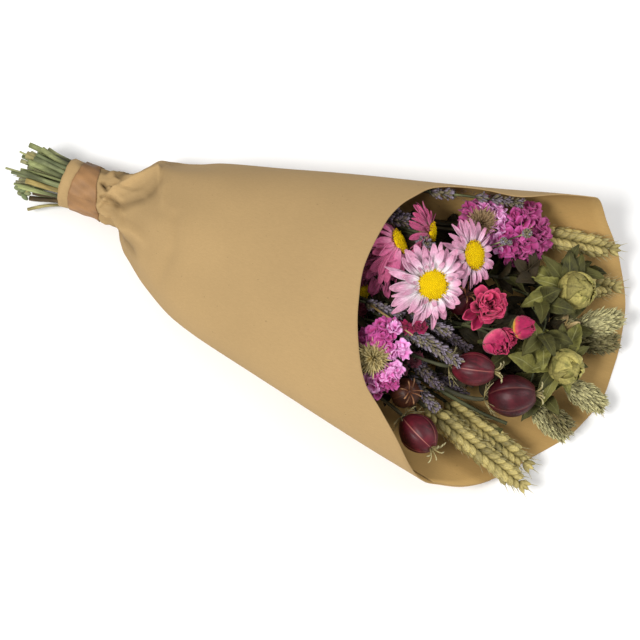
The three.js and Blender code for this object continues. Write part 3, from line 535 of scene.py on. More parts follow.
def petal_finish(name, root, middle, tip, deep, ribs=11.0, pale=0.45, grooves=0.7, stops=PETAL_STOPS):
    """Papery petal: paler at its root and along its ribs, deeper at the tip and from petal to petal."""
    f = Finish(name, 0.6, Specular_IOR_Level=0.3, Sheen_Weight=0.15)
    colour = f.ramp(f.along, (stops[0], root), (stops[1], middle), (stops[2], tip))
    older = f.ramp(f.tone, (0.5, 0.0), (1.0, 0.8))
    outward = f.ramp(f.along, (0.1, 0.25), (0.6, 1.0))
    colour = f.mix(f.math("MULTIPLY", older, outward), colour, deep)
    rib = f.stripes(ribs)
    pale_rib = f.math("MULTIPLY", f.ramp(rib, (0.6, 0.0), (1.0, 1.0)), pale)
    colour = f.mix(pale_rib, colour, root)
    colour = f.shade(colour, f.noise(500, 3), 0.88)
    f.bump(rib, 0.00012, grooves)
    f.bump(f.noise(900, 3), 0.0001, 0.4)
    return f.done(colour)


def stem_finish(name, colour, straw, shaded_inside=True):
    """Dry stem: long fibres, green to straw from stem to stem, with darker patches, and painted shade that
    darkens it towards its head, inside the paper.
    """
    f = Finish(name, 0.7, Specular_IOR_Level=0.3)
    body = f.mix(f.ramp(f.tone, (0.25, 0.0), (0.85, 1.0)), colour, straw)
    body = f.shade(body, f.noise(160, 4, (0.25, 1, 1)), 0.62, 1.0, 0.35, 0.6)
    # Painted shade: the stem darkens from its cut end towards its head, where it runs deep inside the paper
    # and between the heads
    body = f.mix(1.0, body, f.ramp(f.along, (0.15, 1.0), (0.45, 0.5)), "MULTIPLY") if shaded_inside else body
    fibre = f.noise(1800, 2, (0.06, 1, 1))
    body = f.shade(body, fibre, 0.82)
    f.bump(fibre, 0.00015, 0.7)
    return f.done(body)


def leaf_finish(name, green, edge, vein):
    """Dried leaf: pale midrib and side veins, mottled, with straw coloured patches."""
    f = Finish(name, 0.72, Specular_IOR_Level=0.3)
    blade = f.ramp(f.noise(170, 4), (0.35, scaled(green, 0.72)), (0.55, green), (0.75, edge))
    blade = f.mix(f.math("MULTIPLY", f.ramp(f.tone, (0.5, 0.0), (1.0, 1.0)), 0.6), blade, edge)
    side = f.math("ABSOLUTE", f.across)
    slant = f.math("SUBTRACT", f.math("MULTIPLY", f.along, 9.0), f.math("MULTIPLY", side, 2.2))
    lines = f.ramp(f.math("PINGPONG", slant, 0.5), (0.0, 1.0), (0.09, 0.0))
    midrib = f.ramp(side, (0.04, 1.0), (0.1, 0.0))
    veins = f.math("MAXIMUM", f.math("MULTIPLY", lines, 0.55), midrib)
    blade = f.mix(f.math("MULTIPLY", veins, 0.55), blade, vein)
    f.bump(veins, 0.0002, 0.8)
    f.bump(f.noise(600, 3), 0.0002, 0.6)
    return f.done(blade)


def grain_finish(name, low, middle, tip, roughness=0.65, streaks=7.0, patches=None):
    """Husks, buds and scales: shaded at the foot, streaked along, and paler at the tip."""
    f = Finish(name, roughness, Specular_IOR_Level=0.3)
    colour = f.ramp(f.along, (0.0, low), (0.45, middle), (1.0, tip))
    if patches:
        colour = f.mix(f.ramp(f.noise(120, 2), (0.56, 0.0), (0.62, 0.75)), colour, patches)
    colour = f.shade(colour, f.tone, 0.72, 1.0, 0.0, 0.8)
    streak = f.stripes(streaks)
    colour = f.shade(colour, streak, 0.84, 1.0, 0.0, 0.5)
    colour = f.shade(colour, f.noise(700, 3), 0.8)
    f.bump(streak, 0.0001, 0.6)
    return f.done(colour)


# The wrap, the neck and the twine

# Creases wider than this are rounded, and narrower ones are sharp
BROAD_CREASE = 5.5


def fold(x, arc, start, end, width, depth):
    """A crease from start to end, each given by x and place round the paper in millimetres."""
    ax, ay = start
    bx, by = end
    dx, dy = bx - ax, by - ay
    share = ((x - ax) * dx + (arc - ay) * dy) / (dx * dx + dy * dy)
    near = np.clip(share, 0, 1)
    away = np.hypot(x - ax - near * dx, arc - ay - near * dy)
    fade = step(share, -0.1, 0.2) * (1 - step(share, 0.75, 1.15))
    if width > BROAD_CREASE:
        return depth * fade * np.exp(-(away / width) ** 1.4)
    return depth * fade * np.clip(1 - away / (1.7 * width), 0, 1) ** 1.15


def wrap_point(x, degrees, lift):
    """A point on the paper at x and degrees round it, raised by lift."""
    half_width, middle, half_height, centre, pleat = (
        smooth(x, WRAP_SECTIONS[:, 0], WRAP_SECTIONS[:, k]) for k in range(1, 6))
    angle = np.radians(degrees)
    out = lift + pleat * np.cos(np.radians(NECK_PLEATS * (degrees - PLEAT_START)))
    y = middle + (half_width + out) * np.cos(angle)
    z = centre + (half_height + out) * np.sin(angle)
    return np.stack([x, y, np.maximum(z, 0.3)], -1)


def gathers(x, degrees, draw):
    """Small folds that fan out from the tied neck and die away along the paper."""
    lift = np.zeros_like(x)
    for i in range(FOLDS):
        place = (i + draw.uniform(-0.35, 0.35)) * 360 / FOLDS
        drift = draw.uniform(-0.35, 0.35)
        reach = draw.uniform(14, 44)
        width = draw.uniform(5, 11)
        depth = draw.uniform(0.6, 2.0) * (1 if draw.uniform() < 0.5 else -0.9)
        away = (degrees - place - drift * (x - 14) + 180) % 360 - 180
        along = step(x, 14, 21) * (1 - step(x, 20 + 0.3 * reach, 20 + reach))
        lift += depth * along * np.clip(1 - np.abs(away / width), 0, 1)
    return lift


def creased(scene, x, degrees):
    """The lift of all folds, the part of it that is creases, and the place round the paper."""
    lift = gathers(x, degrees, np.random.default_rng(5)) * scene.bouquet_paper.crease_depth / MM
    arc = np.radians((degrees + 90) % 360 - 180) * smooth(x, WRAP_SECTIONS[:, 0], WRAP_SECTIONS[:, 1])
    folded = sum(fold(x, arc, *crease) for crease in CREASES)
    return lift + folded, folded, arc


def neck_shade(x, arc):
    """Where painted shade darkens one side of the neck, on folds that turn from the light."""
    return step(x, -10, -3) * (1 - step(x, 26, 38)) * (1 - step(arc, -12, -7)) * step(arc, -34, -28)


def build_wrap(scene):
    look = scene.bouquet_paper
    batch = Batch(11)
    # Points are closest at the folds of the neck and where the edge of the mouth is steep
    degrees = np.union1d(np.linspace(SEAM, SEAM + 360 + OVERLAP, 244), np.linspace(372, 392, 26))
    spans = ((COLLAR_END, 12, 10), (13, 66, 56), (69, 96, 12), (104, WHOLE_END, 8))
    rows = np.concatenate([np.linspace(*span) for span in spans])
    edge = smooth((degrees - MOUTH_START) % 360 + MOUTH_START, MOUTH_EDGE[:, 0], MOUTH_EDGE[:, 1])
    q = np.linspace(0, 1, 19)[1:, None]
    x = np.concatenate([np.broadcast_to(rows[:, None], (len(rows), len(degrees))),
                        WHOLE_END + (edge - WHOLE_END) * q])
    # The far edge of the mouth dips here
    dip = 12.5 * np.exp(-((x - 290) / 23) ** 2) * np.exp(-((degrees - 380) / 11) ** 2)
    around = degrees + dip
    end = 1 - step(x, COLLAR_END, -8)
    wavy = np.sin(np.radians(around * 5)) + 0.6 * np.sin(np.radians(around * 13 + 40))
    x = x + end * (0.25 * wavy + 1.5 * np.clip(-np.sin(np.radians(around)), 0, 1))
    lift, folded, arc = creased(scene, x, around)
    lift += 0.12 * end * np.sin(np.radians(around * 5 + 60))
    lift += -0.8 * (1 - step(around, SEAM, SEAM + 40)) + 0.3 * step(around, SEAM + 345, SEAM + 388)
    broad = np.sin(np.radians(around * 3) + x / 55) * np.sin(x / 38 + 1.2)
    lift += 0.7 * broad * step(x, 60, 120)
    grid = wrap_point(x, around, lift)
    # Painted shade: the paper is darker in the valleys of its folds, lighter on their ridges and darker on
    # one side of the neck; it is also a little darker where it is gathered at the neck
    fold_shade = np.clip(0.5 + np.where(folded < 0, 0.09, 0.06) * folded * (1 - step(x, 52, 70)), 0, 1)
    fold_shade = fold_shade - 0.46 * neck_shade(x, arc) - 0.06 * step(x, 10, 18) * (1 - step(x, 50, 68))
    batch.sheet(grid[:, ::-1], look.thickness / MM, 0, 1, fold_shade[:, ::-1])
    outer = paper_finish("kraft_outside", look.outer_colour)
    # The inside is partly the paper's own colour and partly painted light: it is warmer, for the light that
    # bounces inside the cone
    inner = paper_finish("kraft_inside", look.inner_colour)
    batch.build("paper_wrap_sheet", [outer, inner], "kraft_paper", "paper_wrap")


# Start and end as x and place round the paper from its top, then width and height
CREASES = [
    ((19, 7), (38, -10), 4.2, 4.0), ((37, -10), (50, -25), 4.0, 3.2), ((27, 17), (52, 0), 3.4, -3.0),
    ((51, 0), (58, -22), 3.4, -2.4), ((44, -30), (58, -8), 1.6, 1.5), ((56, -22), (66, 2), 2.8, 2.2),
    ((28, 25), (64, 29), 3.6, 3.0), ((30, 35), (58, 44), 4.4, -2.8), ((76, 0), (86, 24), 3.6, -2.2),
    ((85, 22), (80, 60), 4.0, -2.4), ((66, 8), (73, 46), 7.0, 1.8), ((17, -14), (34, -26), 7.0, -1.8),
    ((20, -24), (36, -44), 9.0, -1.6), ((46, -46), (86, -62), 13, -2.2), ((18, 34), (34, 46), 8, -1.6),
    ((15, -9), (28, -16), 1.9, 2.8), ((14, -3), (22, 4), 1.5, -5.0), ((22, 3), (25, -5), 1.3, -3.4),
    ((23, 2), (40, -13), 1.8, 2.2), ((21, 7), (17, 16), 1.6, 2.8), ((22, 6), (32, 13), 1.7, -3.4),
    ((26, 4), (36, 9), 1.8, 2.0), ((17, 9), (22, 5), 1.3, -3.0), ((19, 17), (27, 22), 1.9, 2.4),
    ((16, 24), (25, 33), 2.2, 2.0), ((20, -11), (31, -6), 1.5, -2.2), ((4, -15), (30, -12), 2.0, 1.4),
    ((30, 14), (40, 18), 2.0, 1.6), ((32, -17), (44, -30), 2.2, -1.8),
]


def finish_twine():
    """The twine keeps its CAD mesh and gets a material."""
    f = Finish("tied_twine", 0.85)
    wave = f.node("TexWave", [("Vector", f.where), ("Scale", 260.0), ("Distortion", 2.0)])
    strand = wave.outputs[1]
    f.bump(strand, 0.0003, 0.8)
    colour = f.ramp(strand, (0.0, (.55, .47, .33)), (1.0, (.8, .72, .56)))
    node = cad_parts["binding_twine"]
    node.data.materials.clear()
    node.data.materials.append(f.done(colour))


def build_neck(scene):
    look = scene.bouquet_paper
    batch = Batch(12)
    degrees = np.linspace(BAND_START, BAND_START + BAND_TURN, 240)
    a = np.radians(degrees)
    left, right = BAND_LEFT + 0.8 * np.sin(2 * a), 13.4 - 5.2 * np.cos(a - 0.3) + 0.3 * np.sin(7 * a)
    t = np.linspace(0, 1, 16)[:, None]
    x = left + (right - left) * t
    crease = (0.2 * np.sin(9 * a + 0.2 * x) + 0.16 * np.sin(17 * a - 0.35 * x)
              + 0.12 * np.sin(5 * a + 0.5 * x))
    lift, folded, arc = creased(scene, x, degrees)
    hem = t ** 5
    wound = 0.85 + 0.35 * (degrees - BAND_START) / BAND_TURN
    grid = wrap_point(x, degrees, wound + crease * (1 - 0.7 * hem) - 0.3 * hem + lift)
    # Painted shade: the band is darker in its sunken wrinkles and folds and on one side of the neck, and
    # lighter on its raised wrinkles
    tone = 0.5 + 0.06 * folded + 0.25 * crease - 0.42 * neck_shade(x, arc)
    batch.sheet(grid[:, ::-1], 0.25, tone=tone[:, ::-1])
    f = Finish("paper_tape", 0.6, Specular_IOR_Level=0.3)
    dark, pale = shades(look.tape_colour, 0.86, 1.05)
    band = f.ramp(f.noise(45, 3), (0.3, dark), (0.7, pale))
    band = f.shade(band, f.noise(1500, 2), 0.95)
    # Painted shade from the tone mark
    band = f.shade(band, f.tone, 0.66, 1.04, 0.0, 0.62)
    f.bump(f.noise(120, 2), 0.0009, 0.4)
    batch.build("neck_band", [f.done(band)], "paper_tape", "neck_tape")
    finish_twine()


# Stems

def centreline(node):
    """Middle of each ring of corners of a CAD stem, from the cut end up to its head."""
    corners = np.array([v.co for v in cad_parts[node].data.vertices]) / MM - SHIFT
    corners = np.unique(np.round(corners, 3), axis=0)
    corners = corners[np.argsort(corners[:, 0])]
    groups = np.split(corners, np.where(np.diff(corners[:, 0]) > 4)[0] + 1)
    middles = []
    for group in groups:
        if len(group) != 4:
            break
        middles.append(group.mean(0))
    return np.array(middles)


# Millimetres between the rings of a stem, and how many rings shorter some feet are cut
STEM_STEP = 4.0
TRIMMED = {"lavender_6": 3, "lavender_1": 1, "lavender_4": 1}


def add_stem(batch, node, end, radius=1.35, hollow=0.0):
    """A round stem on its CAD course, with joints, a cut or split foot and a slight wander."""
    batch.stand()
    course = centreline(node)
    if end is not None:
        course = np.concatenate([course, np.atleast_2d(end)])
    path = resample(course, STEM_STEP)[TRIMMED.get(node, 0):]
    n = len(path)
    run = np.linspace(0, 1, n) * n * STEM_STEP
    size = radius * batch.between(0.82, 1.12) * (1 + 0.05 * np.sin(run / 7 + batch.between(0, 6)))
    for _ in range(5):
        joint = batch.between(6, n * STEM_STEP * 0.98)
        size = size + 0.22 * radius * np.exp(-((run - joint) / 2.2) ** 2)
    foot = np.exp(-run / 10)
    for sideways in ((0, 1, 0), UP):
        path = path + np.outer(foot * batch.between(-0.8, 0.8), sideways)
    angle = np.linspace(0, TAU, 9, endpoint=False)
    relief = 1 + 0.07 * np.sin(3 * angle + batch.between(0, 6)) + 0.04 * np.sin(4 * angle)
    tone = batch.between(0, 1)
    batch.tube(path, size, 9, GREEN, tone, end_kind=CUT, bore=hollow, relief=relief)
    if batch.between(0, 1) < 0.5:
        back = unit(path[0] - path[3])
        for _ in range(2):
            start = path[1] + 0.7 * radius * unit(batch.draw.normal(size=3) * (0.2, 1, 1))
            lean = back + 0.16 * batch.draw.normal(size=3)
            splinter = start + np.outer(np.linspace(0, 1, 4) * batch.between(3, 7), unit(lean))
            batch.tube(splinter, [0.4, 0.35, 0.22, 0.06], 5, GREEN, tone)
    return path


def head_back(head, depth):
    """The point behind a head, and the one before it, where its stem arrives."""
    axis = unit(head["face"])
    at = np.asarray(head["at"], float)
    return np.array([at - (depth + 7) * axis, at - depth * axis])


def start_stalk(seed, node, head, depth, radius=1.35):
    """A batch with the stem of a head, ready for what grows under the head."""
    batch = Batch(seed)
    add_stem(batch, node, head_back(head, depth), radius)
    return batch.stand(head["at"], head["face"])


def start_spike(seed, node, head, radius, hollow=0.0):
    """A batch with the stem of a spike or an ear, ready for the spike, and its axis and length."""
    batch = Batch(seed)
    at, to = np.asarray(head["at"], float), np.asarray(head["to"], float)
    axis = unit(to - at)
    add_stem(batch, node, np.array([at - 3 * axis, at]), radius, hollow)
    return batch.stand(at, axis), axis, float(np.linalg.norm(to - at))


# Daisies

# Petals in each layer: how many, share of the reach, width, height of the root, rise in degrees
DAISY_LAYERS = {
    1: [(21, 1.12, 6.2, -1.4, -1), (20, 1.0, 5.6, -0.8, 6), (18, 0.84, 4.8, -0.2, 14),
        (14, 0.5, 3.4, 0.4, 36)],
    2: [(19, 1.1, 5.4, -1.4, -4), (18, 0.92, 5.0, -0.8, 10), (15, 0.7, 4.2, -0.2, 24)],
    3: [(15, 1.15, 8.6, -1.4, 0), (13, 0.95, 7.4, -0.8, 14), (11, 0.7, 5.4, -0.2, 30)],
    4: [(26, 1.12, 3.3, -1.4, 0), (22, 0.94, 3.0, -0.8, 14), (15, 0.66, 2.6, -0.2, 30)],
    5: [(13, 1.0, 5.8, -1.4, 0), (11, 0.8, 5.0, -0.8, 16), (9, 0.55, 3.8, -0.2, 32)],
}
# Petals in one row of a skirt
SKIRT_ROW = 20
# Share of the disc's radius, and height, from the foot of the disc to its middle
DISC_DOME = [(0.2, -0.2), (0.86, -0.1), (0.97, 0.5), (0.93, 1.2), (0.78, 2.0), (0.52, 2.6), (0.25, 2.75),
             (0.03, 2.6)]
# Radius and height of the green cup under a disc of CUP_DISC
DAISY_CUP = [(0.9, -8.4), (2.3, -7.6), (4.2, -5.4), (5.2, -3.4), (5.0, -2.6), (0.5, -2.4)]
CUP_DISC = 9.3


def add_daisy_petals(batch, number, head):
    """Layers of petals round the disc, longer towards some sides and sparse on a bare one."""
    rim = 0.8 * head["disc"]
    for layer, (count, share, width, height, raised) in enumerate(DAISY_LAYERS[number]):
        for i, phi in batch.around(count, 0.5 * (layer % 2), 0.36):
            out = spoke(phi)
            if "bare" in head and out @ batch.axes @ unit(head["bare"]) > 0.45 and (i + layer) % 2:
                continue
            length = (head["reach"] - rim) * share * batch.between(0.78, 1.1)
            for way, factor in head.get("grow", ()):
                near = max(0.0, float(out @ batch.axes @ unit(way)))
                length *= 1 + (factor - 1) * near ** 1.5
            start = head["lift"] + raised + batch.between(-6, 6)
            slopes = (start + 8, start + batch.between(-6, 6), start + batch.between(-34, 24))
            batch.petal(rim * out + (0, 0, height), out, UP, length, width * batch.between(0.7, 1.15), slopes,
                        (0.42, batch.between(0.5, 0.7), batch.between(0.08, 0.3), batch.between(0.55, 1.2)),
                        t=tapered(9), cup=batch.between(0.0, 0.8), ridge=0.22, yaw=batch.between(-20, 20),
                        twist=batch.between(-50, 50), thick=0.22)


def add_daisy_skirt(batch, head):
    """Rows of ragged petals that hang from the lower side of a head."""
    batch.stand()
    for i in range(head.get("skirt", 0)):
        row, share = i // SKIRT_ROW, (i % SKIRT_ROW) / (SKIRT_ROW - 1)
        root = np.array(head["at"]) + (
            -3 - 2.2 * row + 5 * share, -3 - 5 * row - 3 * share + batch.between(-2, 2),
            4 - 3.4 * row + batch.between(-1.5, 1.5))
        out = spoke(math.radians(180 + 100 * share + batch.between(-12, 12)))
        lean = batch.between(-34, 12)
        batch.petal(root, out, UP, batch.between(13, 22) * (0.72 + 0.5 * share), batch.between(3.4, 6.4),
                    (lean + 25, lean, lean - batch.between(5, 50)), (0.25, 0.66, 0.2, 0.7), t=tapered(9),
                    cup=batch.between(-0.2, 0.6), ridge=0.35, ruffle=1.1, yaw=batch.between(-28, 28),
                    twist=batch.between(-70, 70), thick=0.22)


def add_daisy_disc(batch, head):
    """A low dome covered in florets, with taller ones of two colours at its rim."""
    radius = head["disc"]
    batch.loft(turned(np.array(DISC_DOME) * (radius, 1), 40), 0.2, 0.0, 0.4)
    count = int((radius / 0.62) ** 2)
    for i in range(count):
        share = math.sqrt((i + 0.5) / count)
        out = spoke(GOLDEN * i)
        high = float(np.interp(share, [0, 0.25, 0.52, 0.78, 0.93, 1.0], [2.6, 2.75, 2.6, 2.0, 1.2, 0.5]))
        root = radius * 0.97 * share * out + (0, 0, high - 0.3)
        lean = unit(out * share ** 2 * 0.9 + UP + 0.12 * batch.draw.normal(size=3))
        edge = share > 0.86
        length = batch.between(1.3, 2.1) if edge else batch.between(0.9, 1.3)
        path = root + np.outer(np.array([0, 0.55, 0.85, 1.0]) * length, lean)
        radii = [0.3, 0.34, 0.5, 0.24] if edge else [0.36, 0.42, 0.46, 0.2]
        kind = 1 if edge and batch.between(0, 1) < 0.5 else 0
        batch.tube(path, radii, 5, kind, 0.55 * share + batch.between(0, 0.45))


def add_bracts(batch, head):
    """Rings of papery bracts and the green cup under a daisy."""
    for ring in range(3):
        for _, phi in batch.around(11, 0.5 * ring):
            out = spoke(phi)
            batch.petal((1.7 + 1.5 * ring) * out + (0, 0, -8 + 1.9 * ring), out, UP, 4.9, 2.6,
                        (48, 40, 30), (0.6, 0.45, 0.15, 1.2), t=tapered(5), across=5, cup=0.3, kind=BRACT)
    batch.loft(turned(np.array(DAISY_CUP) * (head["disc"] / CUP_DISC, 1), 24), 0.3, 0.0, 0.5, BRACT)


def build_daisies(scene):
    look = scene.bouquet_flowers
    finishes = {
        1: petal_finish("daisy_petals_light", (.97, .93, .95), (.87, .62, .75), look.daisy_colour,
                        (.73, .32, .52), stops=(0.3, 0.66, 1.0)),
        2: petal_finish("daisy_petals_pink", (.97, .88, .93), (.94, .68, .81), look.daisy_colour,
                        (.74, .32, .52)),
        3: petal_finish("daisy_petals_rose", (.90, .58, .71), (.83, .37, .57), (.80, .30, .52),
                        (.58, .07, .27)),
        4: petal_finish("daisy_petals_deep", (.90, .56, .70), (.82, .30, .52), (.78, .24, .46),
                        (.60, .12, .30)),
        # Daisy 5 sits deep in the paper: its petals are painted dark as shade
        5: petal_finish("daisy_petals_shaded", (.60, .28, .40), (.46, .16, .27), (.50, .24, .34),
                        (.22, .05, .12)),
    }
    disc = Finish("daisy_florets", 0.7, Specular_IOR_Level=0.15)
    bright, dull = shades(look.disc_colour, 1.05, 0.86)
    yellow = disc.ramp(disc.tone, (0.1, bright), (0.9, dull))
    # Painted shade: the florets darken towards their feet, down between each other
    yellow = disc.shade(yellow, disc.along, 0.84, 1.0, 0.0, 0.7)
    rim = Finish("daisy_rim_florets", 0.65)
    olive = rim.ramp(rim.along, (0.0, (.42, .33, .05)), (0.7, (.70, .52, .06)), (1.0, (.86, .62, .10)))
    florets = [disc.done(yellow), rim.done(olive)]
    stems = stem_set(scene)
    for number, head in DAISIES.items():
        petals = Batch(100 + number).stand(head["at"], head["face"])
        add_daisy_petals(petals, number, head)
        add_daisy_skirt(petals, head)
        petals.build(f"daisy_{number}_ray_petals", [finishes[number]], "daisy_petals",
                     f"daisy_{number}_petals")
        middle = Batch(110 + number).stand(head["at"], head["face"])
        add_daisy_disc(middle, head)
        middle.build(f"daisy_{number}_florets", florets, "daisy_disc", f"daisy_{number}_disc")
        stalk = start_stalk(120 + number, f"daisy_{number}_stem", head, 6)
        add_bracts(stalk, head)
        stalk.build(f"daisy_{number}_stalk", stems, "green_stem", f"daisy_{number}_stem")


def stem_set(scene):
    """Stem, cut end, bract and leaf materials, made once, in the order of GREEN to SHADED."""
    if "green_stalk" not in bpy.data.materials:
        look = scene.bouquet_greens
        stem_finish("green_stalk", look.stem_colour, look.straw_colour)
        cut = Finish("cut_stalk", 0.8)
        cut.done(cut.ramp(cut.noise(900, 2), (0.3, (.62, .58, .36)), (0.7, (.80, .76, .55))))
        grain_finish("papery_bracts", (.45, .36, .20), (.70, .60, .38), (.80, .70, .52))
        leaf_finish("sage_leaf", look.leaf_colour, (.56, .54, .30), (.62, .61, .40))
        leaf_finish("olive_leaf", scaled(look.leaf_colour, 0.62), (.34, .33, .15), (.44, .44, .24))
        # Painted shade: the shaded leaf is near black and stands for the shade deep between the heads
        leaf_finish("shaded_leaf", (.17, .145, .07), (.22, .165, .085), (.25, .22, .12))
    return materials("green_stalk", "cut_stalk", "papery_bracts", "sage_leaf", "olive_leaf", "shaded_leaf")


# Statice

def add_tuft(batch, root, toward, count, length, spread, kind, width):
    """A bunch of narrow pointed bracts."""
    axes = axes_to(toward)
    for i in range(count):
        tilt = spread * math.sqrt((i + 0.5) / count)
        out = spoke(GOLDEN * i) @ axes
        slope = 90 - tilt
        batch.petal(np.asarray(root) + 0.8 * out * tilt / spread, out, axes[2],
                    length * batch.between(0.75, 1.15), width * batch.between(0.8, 1.2),
                    (slope + 6, slope, slope - 14), (0.5, 0.35, 0.05, 1.2), t=tapered(5), across=3, cup=0.5,
                    thick=0.2, kind=kind, twist=batch.between(-40, 40))


def add_floret(batch, root, toward, size, kind):
    """An open papery floret of four broad crinkled petals."""
    axes = axes_to(toward, batch.between(0, TAU))
    for _, phi in batch.around(4, 0, 0.3):
        out = spoke(phi) @ axes
        rise = batch.between(30, 66)
        batch.petal(root + 0.3 * out, out, axes[2], size * batch.between(0.8, 1.25),
                    size * batch.between(0.8, 1.2), (rise + 18, rise, rise - batch.between(20, 70)),
                    (0.25, 0.78, 0.6, 0.5), t=tapered(5), across=6, thick=0.18, cup=batch.between(-0.2, 0.5),
                    ridge=0.34, ridges=2.5, ruffle=batch.between(0.4, 0.9), yaw=batch.between(-25, 25),
                    twist=batch.between(-55, 55), kind=kind)


def has_second_paper(number, x, y):
    """Where the florets of a cluster take its second colour."""
    if number == 1:
        return (x > 4 and y > -7) or (y < -8 and x < 3)
    # For cluster 2 the second colour, violet, is painted shade on the side turned from the light
    return x < -6


def add_florets(batch, number, head):
    """Florets in a low dome, wider across than along, that leave room for the tuft."""
    reach, tall, tuft = head["reach"], head["tall"], np.array(head["tuft"], float)
    closeness, low, high = head["florets"]
    count = int(closeness * tall * (reach / 4.0) ** 2)
    for i in range(count):
        share = math.sqrt((i + 0.5) / count)
        phi = GOLDEN * i + batch.between(-0.3, 0.3)
        place = np.array([math.cos(phi), math.sin(phi) * tall]) * (reach - 1.5) * share
        if np.hypot(*(place - tuft[:2])) < 0.8 * tuft[2]:
            continue
        height = 7 * (1 - share ** 2) - 7.5 + batch.between(-1.8, 1.8)
        splay = 1.3 * share ** 1.5
        lean = unit((splay * math.cos(phi), splay * math.sin(phi), 1) + 0.3 * batch.draw.normal(size=3))
        add_floret(batch, np.array([*place, height]), lean, batch.between(low, high),
                   int(has_second_paper(number, *place)))


def build_statice(scene):
    rose = scene.bouquet_flowers.statice_colour
    papers = {
        "papery": (scaled(rose, 0.6), scaled(rose, 0.88), (.82, .36, .66), (.66, .10, .40)),
        "light": ((.86, .38, .68), (.96, .58, .85), (.98, .74, .93), (.90, .44, .76)),
        "lilac": ((.80, .38, .64), (.95, .57, .84), (.98, .76, .93), (.76, .32, .60)),
        "violet": ((.50, .10, .33), (.67, .18, .46), (.79, .36, .61), (.56, .12, .38)),
    }
    for name, colours in papers.items():
        petal_finish("statice_" + name, *colours, ribs=12, pale=0.1)
    grain_finish("statice_bracts", (.56, .47, .20), (.85, .75, .43), (.94, .87, .64))
    grain_finish("statice_brown_bracts", (.42, .29, .18), (.68, .53, .36), (.80, .68, .52))
    stems = stem_set(scene)
    for number, head in STATICE.items():
        batch = Batch(200 + number).stand(head["at"], head["face"])
        add_florets(batch, number, head)
        batch.build(f"statice_{number}_flowers", materials(*("statice_" + name for name in head["papers"])),
                    "statice_petals", f"statice_{number}_florets")
        stalk = start_stalk(210 + number, f"statice_{number}_stem", head, 5)
        x, y, wide = head["tuft"]
        foot = (x, y, head["foot"])
        add_tuft(stalk, foot, UP, int(14 * wide), 0.85 * wide + 4, 62, OWN, 1.7)
        add_tuft(stalk, foot, UP, int(10 * wide), 0.6 * wide + 5, 40, OWN, 1.4)
        stalk.build(f"statice_{number}_stalk", stems + materials("statice_" + head["bracts"]), "straw_stem",
                    f"statice_{number}_stem")


# Lavender

def add_whorls(batch, length, reach, whorls, kind, layers=4):
    """Ribbed buds in rings up a spike, with a few open florets and fine hairs."""
    if isinstance(whorls, int):
        whorls = [(w + 0.2) / whorls for w in range(whorls)]
    for share in whorls:
        small = 1 - 0.28 * share ** 2
        for layer in range(layers):
            for i, phi in batch.around(7, 0.37 * layer, 0.3):
                out = spoke(phi)
                lean = unit(out * batch.between(0.35, 0.95) + UP)
                root = 0.7 * out + (0, 0, length * share + 1.4 * layer - 1.4 + batch.between(-0.8, 0.8))
                size = batch.between(0.55, 1.15) * small
                batch.bud(root, lean, 1.2 * reach * size, 0.82 * size, kind, 6,
                          ribs=0.25, blunt=0.6, steps=4, peak=0.65)
                if layer != 1 or i % 3:
                    continue
                for turn in (-0.8, 0.8):
                    way = unit(lean + turn * np.array([-out[1], out[0], 0.2]))
                    batch.petal(root + 1.05 * reach * size * lean, way, unit(out + (0, 0, 0.3)), 1.9, 1.3,
                                (30, -10), (0.5, 0.6, 0.5, 0.8), t=tapered(3), across=3, thick=0.15,
                                kind=kind, tone=1.0)
    for _ in range(int(layers * length)):
        phi, high = batch.between(0, TAU), length * batch.between(0, 1)
        out = spoke(phi)
        lean = unit(out + (0, 0, batch.between(0.2, 1.4)))
        hair = 0.68 * reach * out + (0, 0, high) + np.outer([0, 0.8, 1.6], lean)
        batch.tube(hair, [0.1, 0.07, 0.02], 3, kind, 1.0)


def lavender_finish(name, dry, grey, tip):
    """Buds that go from dry grey-green to lilac from bud to bud."""
    f = Finish(name, 0.85, Specular_IOR_Level=0.2)
    fresh = f.ramp(f.along, (0.1, scaled(grey, 0.6)), (0.5, grey), (1.0, tip))
    faded = f.ramp(f.along, (0.1, scaled(dry, 0.6)), (0.9, scaled(dry, 1.25)))
    colour = f.mix(f.ramp(f.tone, (0.3, 0.0), (0.6, 1.0)), faded, fresh)
    colour = f.shade(colour, f.stripes(9.0), 0.8, 1.0, 0.0, 0.5)
    colour = f.shade(colour, f.noise(700, 3), 0.75)
    return f.done(colour)


def build_lavender(scene):
    grey = scene.bouquet_flowers.lavender_colour
    bud = lavender_finish("lavender_buds", (.44, .41, .32), grey, (.63, .585, .66))
    # Painted shade: a darker copy of the buds for spikes deep in the paper
    dark = lavender_finish("lavender_shaded_buds", (.36, .32, .26), (.40, .35, .38), (.49, .44, .51))
    stems = stem_set(scene)
    for number, head in LAVENDER.items():
        batch, _, length = start_spike(300 + number, f"lavender_{number}", head, 1.1)
        batch.tube(np.outer(np.linspace(-1, length, 12), UP), 0.9, 6, GREEN, 0.3)
        kind = OWN + 1 if number in SHADED_LAVENDER else OWN
        add_whorls(batch, length, head["reach"], head["whorls"], kind)
        batch.build(f"lavender_{number}_spike", stems + [bud, dark], "lavender", f"lavender_{number}")


# Nigella pods

BROWN_POD = 4


